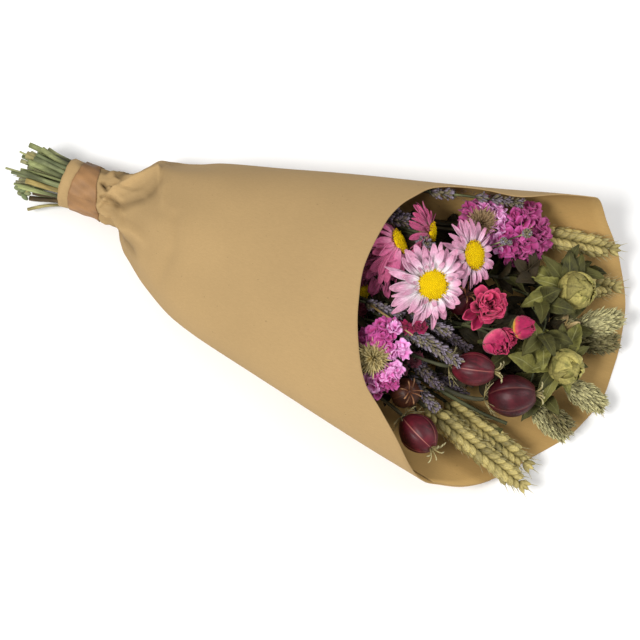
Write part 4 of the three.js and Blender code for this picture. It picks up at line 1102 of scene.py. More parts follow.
def add_pod(batch, head):
    """A plump five-sided pod with sunken seams."""
    reach, tall = head["reach"], head["tall"]
    t = np.linspace(0, 1, 30)
    angle = np.linspace(0, TAU, 80, endpoint=False)
    lobe = np.abs(np.sin(2.5 * (angle - head["turn"])))
    radii = reach * (0.1 + 0.9 * np.sin(np.pi * np.clip(0.03 + 0.94 * t, 0, 1)) ** 0.56)
    swell = 1 - 0.07 * np.exp(-(lobe / 0.3) ** 2)[None] * np.sin(np.pi * t)[:, None] ** 0.6
    wrinkle = 0.006 * np.sin(31 * angle + 9 * t[:, None])
    rings = (radii[:, None] * (swell + wrinkle))[..., None] * circle(80)
    rings[..., 2] = tall * (t - 0.5)[:, None]
    batch.loft(rings, t[:, None], lobe, head["fresh"])


def add_crown(batch, tall, arms):
    """Horns that spread and curl from the top of a pod."""
    top = 0.5 * tall - 1.5
    for _, phi in batch.around(arms, 0, 0.2):
        out = spoke(phi)
        side = np.array([-out[1], out[0], 0])
        t = np.linspace(0, 1, 9)[:, None]
        curl = batch.between(-1.5, 1.5)
        path = out * (0.8 + 7.5 * batch.between(0.8, 1.1) * t ** 1.3) + side * curl * t ** 2 * 2
        path = path + UP * (top + 6.5 * np.sin(1.9 * t) * batch.between(0.8, 1.1))
        radii = np.array([0.75, 0.6, 0.5, 0.45, 0.42, 0.4, 0.42, 0.55, 0.25])
        batch.tube(path, radii, 6, 1, batch.between(0, 1))


def add_threads(batch, tall):
    """Fine forked bracts under a pod."""
    foot = -0.5 * tall - 2.5
    for _, phi in batch.around(12, 0, 0.3):
        out = spoke(phi)
        side = np.array([-out[1], out[0], 0])
        t = np.linspace(0, 1, 8)[:, None]
        long = 13 * batch.between(0.7, 1.1)
        path = out * long * t + UP * (foot + batch.between(2, 8) * t ** 2)
        path = path + side * batch.between(-2, 2) * t ** 2
        batch.tube(path, np.linspace(0.45, 0.12, 8), 5, OWN, batch.between(0, 1))
        for fork in (3, 5):
            lean = unit(out + side * batch.between(-1, 1) + (0, 0, batch.between(0, 0.8)))
            twig = path[fork] + np.outer(np.linspace(0, 0.4 * long, 4), lean)
            batch.tube(twig, [0.26, 0.2, 0.15, 0.06], 4, OWN, 0.6)


def pod_finish(name, colour, seam):
    """Blotched skin with fine veins and pale seams."""
    f = Finish(name, 0.48, Specular_IOR_Level=0.3)
    dark, bright, vein = shades(colour, 0.65, 1.35, 1.7)
    skin = f.ramp(f.noise(110, 4), (0.3, dark), (0.55, colour), (0.8, bright))
    line = f.math("SUBTRACT", 1.0, f.ramp(f.across, (0.03, 0.0), (0.13, 1.0)))
    veins = f.ramp(f.noise(420, 3, (0.3, 1, 1)), (0.55, 0.0), (0.75, 1.0))
    skin = f.mix(f.math("MULTIPLY", veins, 0.3), skin, vein)
    skin = f.shade(f.mix(line, skin, seam), f.tone, 0.66, 1.0, 0.0, 0.7)
    f.bump(f.noise(260, 4, (0.5, 1, 1)), 0.0006, 0.45)
    return f.done(skin)


def build_nigella(scene):
    maroon = pod_finish("pod_maroon", scene.bouquet_flowers.pod_colour, (.66, .40, .36))
    brown = pod_finish("pod_brown", (.29, .15, .10), (.48, .32, .20))
    crown = grain_finish("pod_crown", (.50, .44, .26), (.74, .68, .46), (.86, .82, .62))
    rust = grain_finish("pod_brown_crown", (.36, .20, .14), (.62, .40, .27), (.74, .55, .38))
    stems = stem_set(scene)
    for number, head in NIGELLA.items():
        pod = Batch(400 + number).stand(head["at"], head["face"])
        add_pod(pod, head)
        add_crown(pod, head["tall"], 8 if number == BROWN_POD else 7)
        skins = [brown if number == BROWN_POD else maroon, crown if number < BROWN_POD else rust]
        pod.build(f"nigella_{number}_fruit", skins, "seed_pod", f"nigella_{number}_pod")
        stalk = start_stalk(410 + number, f"nigella_{number}_stem", head, 0.5 * head["tall"] + 0.5)
        add_threads(stalk, head["tall"])
        stalk.build(f"nigella_{number}_stalk", stems + [crown], "green_stem", f"nigella_{number}_stem")


# Roses

# Materials of a bloom: the outside and the inside of its petals
OUTSIDE, INSIDE = 0, 1
# Petals in each layer of the open rose's heart: how many, share of the reach, height and curl
HEART_LAYERS = ((2, 0.2, 0.78, 0.0), (3, 0.36, 0.84, 0.4), (4, 0.52, 0.86, 0.8))
# Its loose petals: how many, rise in degrees, and length as a share of the reach
LOOSE_LAYERS = ((5, 76, 1.6), (6, 62, 1.5), (5, 44, 1.36))
# Petals of a closed bud: how many, share of the reach, and height
BUD_LAYERS = ((2, 0.36, 0.96), (3, 0.62, 1.0), (4, 0.8, 0.98), (3, 0.92, 0.9), (3, 1.0, 0.8))


def add_hugging(batch, radius, low, high, phi, spread, bulge, kind=0, *, curl, point=0.0, thick=0.3,
                wave=1.2, steps=11, back=None):
    """A petal or scale that hugs a bud from low to high."""
    t = np.linspace(0, 1, steps)[:, None]
    u = np.linspace(-1, 1, 11)[None]
    wide = np.sin(0.5 * np.pi * np.clip(0.25 + 1.1 * t, 0, 1))
    wide = wide * (1 - point * np.clip((t - 0.35) / 0.65, 0, 1) ** 1.5)
    angle = phi + u * spread * wide
    size = radius * np.interp(t, [0, 0.15, 0.45, 0.75, 1], bulge)
    size = size + curl * np.clip(t - 0.55, 0, 1) ** 2 * 4 + wave * t * np.sin(4 * u + phi * 3) * 0.5
    z = low + (high - low) * (t - 0.13 * t * u ** 2 + 0.03 * wave * t * np.sin(9 * u + phi))
    z = z - curl * 0.5 * np.clip(t - 0.75, 0, 1) ** 2 * 16
    grid = np.stack([size * np.cos(angle), size * np.sin(angle), z + 0 * angle], -1)
    batch.sheet(grid, thick, kind, back, along=t)


def add_open_rose(batch, reach):
    """A blown rosebud: a ruffled heart and loose petals that curl back."""
    low = -0.95 * reach
    for k, (count, share, tall, curl) in enumerate(HEART_LAYERS):
        for _, phi in batch.around(count, 0.4 * k, 0.25):
            add_hugging(batch, reach * share * batch.between(0.9, 1.1), low, low + 1.7 * reach * tall, phi,
                        TAU / count * 0.6, (0.6, 0.8, 1.0, 1.0, 1.05), INSIDE, curl=curl, wave=2.6,
                        back=OUTSIDE)
    for k, (count, rise, length) in enumerate(LOOSE_LAYERS):
        for _, phi in batch.around(count, 0.3 * k, 0.3):
            out = spoke(phi)
            bend = batch.between(0, 70)
            batch.petal(0.22 * reach * out + (0, 0, low + 0.1 * reach), out, UP,
                        length * reach * batch.between(0.85, 1.1), 1.05 * reach * batch.between(0.7, 1.15),
                        (rise - 6, rise + 12, rise, rise - bend), (0.3, 0.66, 0.5, 0.5), t=tapered(16),
                        across=13, cup=batch.between(0.2, 0.9), ruffle=batch.between(1.6, 3.2), ridge=0.3,
                        ridges=2.5, thick=0.35, twist=batch.between(-45, 45), kind=INSIDE, back=OUTSIDE)
    for i in range(9):
        out = spoke(GOLDEN * i + 0.6)
        batch.petal(batch.between(0.2, 0.55) * reach * out + (0, 0, low + 0.9 * reach), out, UP,
                    0.8 * reach * batch.between(0.8, 1.2), 0.75 * reach * batch.between(0.7, 1.1),
                    (88, 70, batch.between(-10, 60)), (0.4, 0.66, 0.5, 0.5), t=tapered(10), across=9,
                    cup=batch.between(0.4, 1.2), ruffle=2.2, ridge=0.3, ridges=2.5, thick=0.3,
                    twist=batch.between(-60, 60), kind=INSIDE, back=OUTSIDE)
    for phi in (3.4, 3.9):
        out = spoke(phi)
        batch.petal(0.5 * reach * out + (0, 0, low + 0.3 * reach), out, UP, 1.5 * reach, 0.7 * reach,
                    (30, 0, 10, 70), (0.4, 0.6, 0.4, 0.6), t=tapered(14), across=9, cup=1.2, thick=0.35,
                    kind=INSIDE, back=OUTSIDE)


def add_closed_rose(batch, reach):
    """A rosebud of petals that hug each other, the outer ones lower and looser."""
    low, high = -0.95 * reach, 0.85 * reach
    for k, (count, share, tall) in enumerate(BUD_LAYERS):
        for _, phi in batch.around(count, 0.43 * k, 0.14):
            bulge = (0.3, 0.74, 1.0, 0.86, batch.between(0.42, 0.62) + 0.08 * max(k - 2, 0))
            top = low + (high - low) * tall * batch.between(0.86, 1.02)
            add_hugging(batch, reach * share, low, top, phi, TAU / count * (0.62 if k < 3 else 0.5), bulge,
                        INSIDE, curl=batch.between(0.0, 0.25 + 0.18 * k), thick=0.35, wave=1.4, point=0.45,
                        back=OUTSIDE)


def add_calyx(batch, reach):
    """The green cup under a bloom and its five sepals."""
    batch.bud((0, 0, -0.95 * reach - 2.6), UP, 3.8, 0.34 * reach, SAGE, 12, blunt=0.7)
    for _, phi in batch.around(5, 0, 0.1):
        out = spoke(phi)
        batch.petal(0.3 * reach * out + (0, 0, -reach), out, UP, 1.15 * reach, 0.42 * reach, (20, 55, 84),
                    (0.7, 0.25, 0.04, 1.4), t=tapered(8), across=5, cup=0.35, thick=0.3, kind=SAGE)


def build_roses(scene):
    red = scene.bouquet_flowers.rose_colour
    finishes = {
        "outside": ((.52, .04, .17), scaled(red, 0.92), (.86, .27, .44), (.56, .03, .19)),
        "inside": ((.48, .03, .15), scaled(red, 0.86), (.86, .27, .45), (.52, .03, .17)),
        "salmon": ((.93, .60, .58), (.90, .34, .50), scaled(red, 0.85), (.76, .10, .35)),
        "golden": ((.93, .76, .20), (.86, .34, .36), scaled(red, 0.85), (.64, .05, .29)),
    }
    stops = {"salmon": (0.32, 0.54, 0.86), "golden": (0.25, 0.42, 0.64)}
    for name, colours in finishes.items():
        petal_finish("rose_" + name, *colours, ribs=15, pale=0.0, grooves=0.3 if name in stops else 0.25,
                     stops=stops.get(name, PETAL_STOPS))
    stems = stem_set(scene)
    for number, head in ROSES.items():
        batch = Batch(500 + number).stand(head["at"], head["face"], 0.6 * number)
        if number == 1:
            add_open_rose(batch, head["reach"])
        else:
            add_closed_rose(batch, head["reach"])
        batch.build(f"rose_{number}_petals", materials("rose_" + head["outside"], "rose_inside"),
                    "rose_petals", f"rose_{number}_bloom")
    stalk = Batch(510)
    fork = np.array(ROSE_FORK["at"], float)
    aim = unit(ROSE_FORK["face"])
    add_stem(stalk, "rose_stem", np.array([fork - 6 * aim, fork]))
    for number, head in ROSES.items():
        axis = unit(head["face"])
        foot = np.array(head["at"], float) - (0.9 * head["reach"] + 1.2) * axis
        run = 0.4 * np.linalg.norm(foot - fork)
        t = np.linspace(0, 1, 16)[:, None]
        points = [fork - 3 * aim, fork + run * aim, foot - run * axis, foot]
        path = ((1 - t) ** 3 * points[0] + 3 * t * (1 - t) ** 2 * points[1]
                + 3 * t ** 2 * (1 - t) * points[2] + t ** 3 * points[3])
        stalk.stand()
        stalk.tube(path, np.linspace(1.1, 0.9, 16), 8, GREEN, 0.4)
        stalk.stand(head["at"], head["face"], 0.6 * number)
        add_calyx(stalk, head["reach"])
    stalk.build("rose_branch", stems, "leaf", "rose_stem")


# Wheat

# Millimetres between two grains on the same side of an ear
EAR_PITCH = 5.3
# Grains at each step of an ear: turn round it, how far aside, and how far they splay
GRAINS = ((-1, 1.2, 0.55), (0, 1.9, 0.66), (1, 1.0, 0.46))
AWN = [0.28, 0.18, 0.04]


def add_ear(batch, length):
    """Husked grains with awns in turn on both sides of a wavy spine, and three at the tip."""
    t = np.linspace(-1, length, 26)
    spine = np.stack([0.35 * np.sin(t * np.pi / 4.4), 0 * t, t], -1)
    batch.tube(spine, 0.9, 6, OWN + 1, 0.9, flat=0.7)
    count = int((length - 6) / EAR_PITCH * 2)
    for i in range(count):
        sign = 1 if i % 2 else -1
        share = min(1.0, 0.7 + 0.1 * i, 0.55 + 0.09 * (count - i))
        root = np.array([0, 0, 0.5 * EAR_PITCH * i])
        for turn, aside, splay in GRAINS:
            lean = unit((sign * (splay + batch.between(-0.09, 0.09)),
                         0.42 * turn + batch.between(-0.08, 0.08), 1))
            start = root + np.array([sign * aside * share, 2.1 * turn * share, -0.7 * abs(turn)])
            size = share * batch.between(0.96, 1.2)
            batch.bud(start, lean, 8.8 * size, 2.65 * size, OWN, 8, flat=0.9, blunt=0.14, peak=0.5)
            batch.petal(start - 0.4 * lean, lean, unit((sign * (1.0 if turn < 1 else 0.3), 0.9 * turn, 0.1)),
                        6.4 * size, 5.2 * size, (26, -2, -16), (0.6, 0.45, 0.05, 1.3), t=tapered(5), across=5,
                        cup=-0.7, thick=0.3, kind=OWN)
            reach = batch.between(3.0, 6.5) * (1.25 if i > count - 7 else 1.0)
            way = unit(lean + (0.12 * sign, 0, 0.5))
            awn = start + lean * 8.3 * size + np.outer([0, 0.5 * reach, reach], way)
            batch.tube(awn, AWN, 4, OWN + 1, 0.9)
    for turn in (-0.5, 0, 0.5):
        foot, lean = (0.6 * turn, 0, length - 7.5), unit((turn, 0.2, 1))
        batch.bud(foot, lean, 8, 1.9, OWN, 9, blunt=0.12, steps=8)
        batch.tube(foot + np.outer([7.6, 10, 13], lean), AWN, 4, OWN + 1, 0.9)


def build_wheat(scene):
    straw = scene.bouquet_greens.wheat_colour
    husk = grain_finish("wheat_husks", scaled(straw, 0.78), straw, scaled(straw, 1.1), 0.62, 8)
    awn = grain_finish("wheat_awns", (.66, .62, .42), (.78, .74, .54), (.86, .82, .64))
    stems = stem_set(scene)
    for number, head in WHEAT.items():
        batch, axis, length = start_spike(600 + number, f"wheat_{number}", head, 1.25, 0.5)
        row = unit(np.cross(CAMERA_BACK, axis))
        batch.axes = np.array([row, np.cross(axis, row), axis])
        add_ear(batch, length)
        batch.build(f"wheat_{number}_ear", stems + [husk, awn], "wheat", f"wheat_{number}")


# Safflower, canary grass and foliage

def add_leaf(batch, root, out, length, width, slopes, kind, teeth=(7, 0.16), yaw=None, twist=None):
    """A toothed leaf on the batch's own upright axis."""
    yaw = batch.between(-22, 22) if yaw is None else yaw
    twist = batch.between(-35, 35) if twist is None else twist
    batch.petal(root, out, UP, length, width, slopes, (0.22, 0.4, 0.05, 0.95), t=tapered(24, 1.1),
                across=9, cup=0.35, ridge=0.12, ridges=1, ruffle=0.6, thick=0.3, kind=kind, yaw=yaw,
                twist=twist, teeth=teeth)


# Leaves round each safflower bud: heading in degrees from x, length, width, rise, and material
COLLAR_LEAVES = {
    1: [(-142, 37, 15, 22, SAGE), (172, 38, 14, 16, SAGE), (150, 30, 12, 30, OLIVE), (112, 27, 12, 40, OLIVE),
        (84, 26, 11, 34, OLIVE), (22, 20, 9, 34, OLIVE), (-20, 17, 8, 30, SAGE), (-118, 27, 10, 26, SAGE),
        (-72, 18, 8, 22, OLIVE), (196, 27, 11, 38, SAGE)],
    2: [(144, 30, 13, 28, SAGE), (80, 31, 14, 22, SAGE), (112, 27, 11, 36, OLIVE), (50, 22, 9, 30, OLIVE),
        (-148, 24, 10, 26, SAGE), (-176, 42, 13, 10, SAGE), (12, 18, 8, 30, OLIVE), (-94, 31, 9, 12, SAGE),
        (-112, 28, 8, 18, OLIVE), (-60, 22, 8, 18, SAGE)],
}


def add_scaly_bud(batch, reach):
    """A closed heart in three rings of four pointed scales."""
    t = np.linspace(0, 1, 16)
    heart = 0.88 * reach * outline(t, 0.45, 0.45, 0.2, 0.7)
    batch.tube(np.outer(reach * (-0.9 + 1.62 * t), UP), heart, 28, 0, 0.35)
    for ring in range(3):
        low = reach * (-0.92 + 0.26 * ring)
        bulge = (0.62 + 0.06 * ring, 0.9, 1.02 - 0.02 * ring, 0.9 - 0.06 * ring, 0.56 - 0.07 * ring)
        for _, phi in batch.around(4, 0.5 * (ring % 2), 0.14):
            top = low + reach * batch.between(1.2, 1.42)
            add_hugging(batch, reach * (0.96 + 0.02 * (3 - ring)), low, top, phi, 0.92, bulge,
                        curl=batch.between(-0.4, 0.9), point=0.7, thick=0.35, steps=15)


def build_safflower(scene):
    green = scene.bouquet_greens.bud_colour
    bud = grain_finish("safflower_scales", scaled(green, 0.86), green, scaled(green, 1.1), 0.7, 3,
                       (.45, .46, .21))
    stems = stem_set(scene)
    for number, head in SAFFLOWER.items():
        batch = Batch(700 + number).stand(head["at"], head["face"])
        reach = head["reach"]
        add_scaly_bud(batch, reach)
        batch.build(f"safflower_{number}_bud", [bud], "safflower_bud", f"safflower_{number}_head")
        stalk = start_stalk(710 + number, f"safflower_{number}_stem", head, 0.92 * reach, 1.45)
        stalk.stand()
        root = np.array(head["at"], float) - 0.88 * reach * unit(head["face"])
        for heading, long, wide, rise, kind in COLLAR_LEAVES[number]:
            out = spoke(math.radians(heading))
            add_leaf(stalk, root + 2 * out, out, long, wide, (rise + 16, rise, rise - 26, rise - 52), kind,
                     (7, 0.12), yaw=stalk.between(-14, 14), twist=stalk.between(-28, 28))
        stalk.build(f"safflower_{number}_stalk", stems, "leaf", f"safflower_{number}_stem")


def add_canary_head(batch, length, reach, kind, count=420):
    """A plump head of overlapping glumes, with fine hairs."""
    t = np.linspace(0, 1, 12)
    batch.tube(np.outer(t * length, UP), 0.72 * reach * outline(t, 0.3, 0.45, 0.2), 12, kind, 0.1)
    for i in range(count):
        share = (i + 0.5) / count
        phi = GOLDEN * i + batch.between(-0.5, 0.5)
        high = length * (share * 0.95 - 0.03) + batch.between(-1.2, 1.2)
        wide = reach * 0.62 * float(outline(np.array(share), 0.45, 0.42, 0.18))
        out = spoke(phi)
        lean = 58 - 6 * share + batch.between(-13, 13)
        size = batch.between(0.7, 1.25)
        batch.petal(wide * out + (0, 0, high), out, UP, 5.8 * size, 1.55 * size,
                    (lean - 12, lean, lean + 10), (0.4, 0.4, 0.04, 1.2), t=tapered(4), across=3,
                    cup=-1.2, thick=0.22, kind=kind, yaw=batch.between(-14, 14))
    for _ in range(60):
        phi, share = batch.between(0, TAU), batch.between(0.1, 1)
        out = spoke(phi)
        root = reach * 0.8 * out * (1 - 0.5 * share) + (0, 0, length * share)
        way = unit(out + (0, 0, 1.6))
        batch.tube(root + np.outer([0, 3, 6], way), [0.12, 0.09, 0.03], 3, BRACT, 1.0)


def build_canary(scene):
    low, middle, tip = shades(scene.bouquet_greens.canary_colour, 0.74, 0.95, 1.12)
    pale = grain_finish("canary_glumes", low, middle, tip, 0.65, 4.5)
    olive = grain_finish("canary_olive_glumes", (.43, .40, .25), (.55, .52, .34), (.66, .62, .44), 0.65, 4.5)
    stems = stem_set(scene)
    for number, head in PHALARIS.items():
        batch, _, length = start_spike(800 + number, f"phalaris_{number}", head, 1.0, 0.5)
        add_canary_head(batch, length, head["reach"], OWN + 1 if number == OLIVE_GRASS else OWN)
        batch.build(f"phalaris_{number}_head", stems + [pale, olive], "canary_grass", f"phalaris_{number}")


def build_foliage(scene):
    stems = stem_set(scene)
    for number, head in FOLIAGE.items():
        batch = Batch(900 + number)
        end = np.array(head["at"], float) if head["leaves"] else None
        path = add_stem(batch, f"foliage_{number}", end, radius=1.4)
        tip = path[-1]
        axis = unit(tip - path[-6])
        for i in range(head["leaves"]):
            batch.stand(tip - axis * (1 + 3.6 * i), axis)
            rise = 62 - 7 * i
            add_leaf(batch, (0, 0, 0), spoke(GOLDEN * i + number), head["leaf"] * batch.between(0.85, 1.1),
                     0.44 * head["leaf"], (rise, rise - 8, rise - 30), OLIVE if i % 3 else SHADED)
        batch.build(f"foliage_{number}_leaves", stems, "leaf", f"foliage_{number}")


# What fills the gaps between the heads

# Sprigs under the heads: tip, heading in degrees from x, climb, leaves, leaf length, and leaf material
SPRIGS = [
    ((295, -22, 40), 170, 10, 4, 22, SHADED), ((304, -4, 40), 20, 10, 3, 20, SHADED),
    ((326, 20, 42), -20, 20, 3, 25, SAGE), ((334, -6, 42), -75, 12, 3, 28, SAGE),
    ((313, -21, 42), -170, 10, 3, 24, OLIVE), ((334, -22, 40), 100, 20, 2, 28, SAGE),
    ((311, 34, 44), 170, 15, 3, 22, SHADED), ((335, 46, 36), 20, 10, 3, 24, OLIVE),
    ((330, -38, 24), -20, 0, 4, 22, OLIVE), ((345, -36, 22), -30, 0, 4, 24, SAGE),
    ((344, 12, 24), 0, 5, 4, 26, OLIVE), ((344, 56, 22), 20, 0, 4, 18, OLIVE),
    ((322, -76, 16), -20, 0, 3, 14, OLIVE), ((331, -8, 52), -100, 24, 2, 24, SAGE),
]
# More lavender between the heads: foot, tip and radius
SPRAYS = [
    ((257, -36, 60), (290, -45, 59), 4.6), ((246, -46, 52), (281, -62, 50), 4.8),
    ((259, -60, 42), (283, -74, 38), 4.6), ((240, -35, 64), (264, -40, 60), 4.4),
    ((262, -26, 56), (290, -30, 48), 4.2), ((234, 24, 72), (246, 17, 80), 4),
    ((214, -44, 62), (238, -46, 66), 4.4), ((205, 26, 72), (226, 30, 78), 4.6),
    ((219, -33, 78), (243, -34, 80), 4.4), ((236, -42, 74), (262, -45, 74), 4.4),
]
# Loose petals: place and length; those below the height that follows are painted maroon, as shade deep among
# the heads
CRIMSON = [
    (243, -43, 83, 6), (248, -41, 84, 6), (253, -40, 84, 6), (258, -38, 83, 5.5), (259, -52, 56, 8),
    (251, -62, 50, 8), (204, -34, 72, 10), (213, -38, 70, 10),
]
SHADED_PETAL_TOP = 80
# Millimetres between the middle of the paper and the leaves inside it
INNER_GAP = 1.5
# Round heads of small dried buds: middle and radius
BUTTONS = [((301, 51, 72), 3.2), ((288, 43, 66), 2.6), ((292, 44, 64), 2.0)]


def keep_inside(batch):
    """Draws corners that would pierce the paper back inside it."""
    gap = INNER_GAP
    for points in batch.points:
        wide, middle, high, centre = (
            smooth(points[:, 0], WRAP_SECTIONS[:, 0], WRAP_SECTIONS[:, k]) for k in range(1, 5))
        y, z = (points[:, 1] - middle) / (wide - gap), (points[:, 2] - centre) / (high - gap)
        far = np.hypot(y, z)
        held = (0.9 + 0.08 * (1 - np.exp((0.9 - far) / 0.08))) / np.maximum(far, 0.1)
        share = np.where(far > 0.9, held, 1.0)
        points[:, 1], points[:, 2] = middle + y * share * (wide - gap), centre + z * share * (high - gap)


def add_sprig(batch, tip, heading, climb, leaves, size, kind):
    """A bent twig that rises to its tip, with leaves at and below it."""
    turn, rise = math.radians(heading), math.radians(climb)
    way = np.array([math.cos(turn) * math.cos(rise), math.sin(turn) * math.cos(rise), math.sin(rise)])
    tip = np.asarray(tip, float)
    path = bow(tip - way * 30 + (-8, 0, -10), tip - way * 16, tip, 9)
    batch.tube(path, np.linspace(1.0, 0.5, 9), 7, GREEN, 0.2)
    steps, across = (8, 5) if kind == SHADED else (14, 7)
    for i in range(leaves):
        side = (1 if i % 2 else -1) * batch.between(35, 75) if i else 0
        out = spoke(math.radians(heading + side))
        lift = climb + batch.between(0, 34)
        batch.petal(path[-1 - (i + 1) // 2], out, UP, size * batch.between(0.8, 1.15),
                    0.46 * size * batch.between(0.8, 1.2), (lift + 14, lift, lift - 40),
                    (0.22, 0.42, 0.05, 0.95), t=tapered(steps, 1.1), across=across, cup=0.4, ridge=0.12,
                    ridges=1, ruffle=0.7, yaw=batch.between(-25, 25), twist=batch.between(-50, 50),
                    teeth=(5, 0.1), kind=OLIVE if kind == SAGE and batch.between(0, 1) < 0.35 else kind)


def build_leaves(stems):
    """Leaves under the heads, and leaves painted near black as shade deep between them."""
    leaves = Batch(950)
    for sprig in SPRIGS:
        add_sprig(leaves, *sprig)
    leaves.build("filling_leaves", stems, "leaf")
    shade = Batch(955)
    for row in range(9):
        for column in range(11):
            x, y = 222 + 13.5 * row + shade.between(-6, 6), -84 + 14.5 * column + shade.between(-6, 6)
            z = 21 + 14 * shade.between(0, 1) * (1 - 0.07 * row)
            if abs(y + 12) > 62 + 4 * row or (row > 6 and abs(y) > 34) or (row > 2 and y < -50):
                continue
            add_sprig(shade, (x, y, z), shade.between(-50, 50), shade.between(0, 16), 3, 20, SHADED)
    for k in range(22):
        x, y = 213 + 14 * (k % 3) + shade.between(-5, 5), 22 - 4.4 * k + shade.between(-4, 4)
        tip = (x, y, 62 + 5 * math.sin(k * 1.3))
        add_sprig(shade, tip, shade.between(-80, 60), shade.between(-14, 10), 3, 20, SHADED)
    keep_inside(shade)
    shade.build("shaded_leaves", stems, "leaf")


def build_sprays(stems):
    batch = Batch(960)
    for k, (foot, tip, reach) in enumerate(SPRAYS):
        foot, tip = np.array(foot, float), np.array(tip, float)
        axis = unit(tip - foot)
        batch.stand()
        batch.tube(bow(foot + (-34, 0, -18), foot - 14 * axis, foot, 10), 0.9, 6, GREEN, 0.3)
        batch.stand(foot, axis)
        length = float(np.linalg.norm(tip - foot))
        batch.tube(np.outer(np.linspace(-1, length, 8), UP), 0.8, 6, GREEN, 0.3)
        # Every third spray takes the darker buds, painted as shade
        kind = OWN + 1 if k % 3 == 1 else OWN
        add_whorls(batch, length, reach, max(3, int(length / 4.6)), kind, 3)
    batch.build("filling_lavender", stems + materials("lavender_buds", "lavender_shaded_buds"), "lavender")


def build_crimson():
    batch = Batch(970)
    for *at, reach in CRIMSON:
        for _, phi in batch.around(6, 0, 0.5):
            batch.petal(np.array(at) - (0, 0, batch.between(0, 3)), spoke(phi), UP,
                        reach * batch.between(0.6, 1.1), reach * batch.between(0.5, 1.0), (50, 10, -40),
                        (0.4, 0.6, 0.5, 0.6), cup=0.4, ruffle=1.2, twist=batch.between(-70, 70),
                        kind=int(at[2] < SHADED_PETAL_TOP))
    batch.build("crimson_petals", [
        petal_finish("crimson_petal", (.42, .02, .17), (.56, .02, .25), (.64, .06, .34), (.34, .02, .13),
                     pale=0.1),
        # Painted shade: a dark copy of the crimson for the lower petals
        petal_finish("shaded_crimson_petal", (.26, .07, .10), (.40, .12, .19), (.50, .22, .30), (.20, .04, .08),
                     pale=0.1),
    ], "rose_petals")


def build_dried_buds(stems):
    """Round heads, a bent stalk, a tuft of bracts and two grass heads between the flowers."""
    batch = Batch(985)
    for at, size in BUTTONS:
        at = np.array(at)
        for i in range(34):
            high = 1 - 2 * (i + 0.5) / 34
            level = math.sqrt(1 - high * high)
            way = unit((level * math.cos(GOLDEN * i), level * math.sin(GOLDEN * i), high))
            batch.bud(at + 0.3 * size * way, way, 0.8 * size, 0.28 * size, OWN, 6, blunt=0.5)
        batch.tube([at, at + (-9, -4, -8), at + (-16, -6, -22)], 0.5, 6, GREEN, 0.5)
    batch.tube([(222, -35, 82), (238, -41, 86), (254, -45.5, 83)], [0.8, 0.75, 0.6], 7, BRACT, 0.8)
    for i in range(9):
        batch.petal((342, 8, 30), spoke(math.radians(20 * i - 80)), UP, batch.between(10, 17),
                    batch.between(4, 7), (40, 10, -30), (0.4, 0.5, 0.1, 1.0), cup=0.5, ruffle=0.9,
                    twist=batch.between(-60, 60), kind=BRACT)
    add_canary_head(batch.stand((352, -45, 22), (0.9, -0.3, 0)), 18, 6, OWN + 2, 200)
    add_canary_head(batch.stand((336, 13.5, 27), (1, 0.35, 0)), 15, 5.5, OWN + 2, 180)
    own = materials("lavender_buds", "canary_glumes", "canary_olive_glumes")
    batch.build("dried_buds", stems + own, "lavender")


# Cut ends behind the neck: x, y, z, thickness, and fresh, dark, brown or straw
CUT_ENDS = [
    (-45, 12, 34, 1.9, 0), (-43, 3, 37, 2.6, 3), (-48, 3, 38, 0.7, 0), (-36, 5, 38, 1.8, 1),
    (-39, -1, 38, 1.7, 0), (-54, -9, 33, 0.8, 0), (-49, -11, 33, 1.0, 1), (-45.5, -17, 28, 0.9, 0),
    (-43, -9, 33, 1.8, 1), (-42.5, -17, 26, 1.3, 0), (-35.5, -18, 14, 1.8, 2), (-35, -24.5, 9, 1.2, 3),
    (-36, 1, 40, 2.1, 1), (-37, -3, 40, 2.0, 0), (-37, -14, 33, 1.9, 3), (-34, 10, 39, 1.9, 0),
    (-32, 14, 32, 1.8, 0), (-33, -15, 20, 1.7, 2), (-34, 8, 9, 1.8, 1), (-38, -4, 5, 1.8, 2),
    (-40, 2, 13, 1.6, 1), (-35, -12, 9, 1.7, 0), (-33, 17, 22, 1.8, 1),
]
STALK_KINDS = (GREEN, OWN, OWN + 1, OWN + 2)
# Where the spare stalks enter and leave the neck in x, and how far from its middle they pass
NECK_ENTRY, NECK_EXIT = -12, 14
NECK_REACH = 13.6


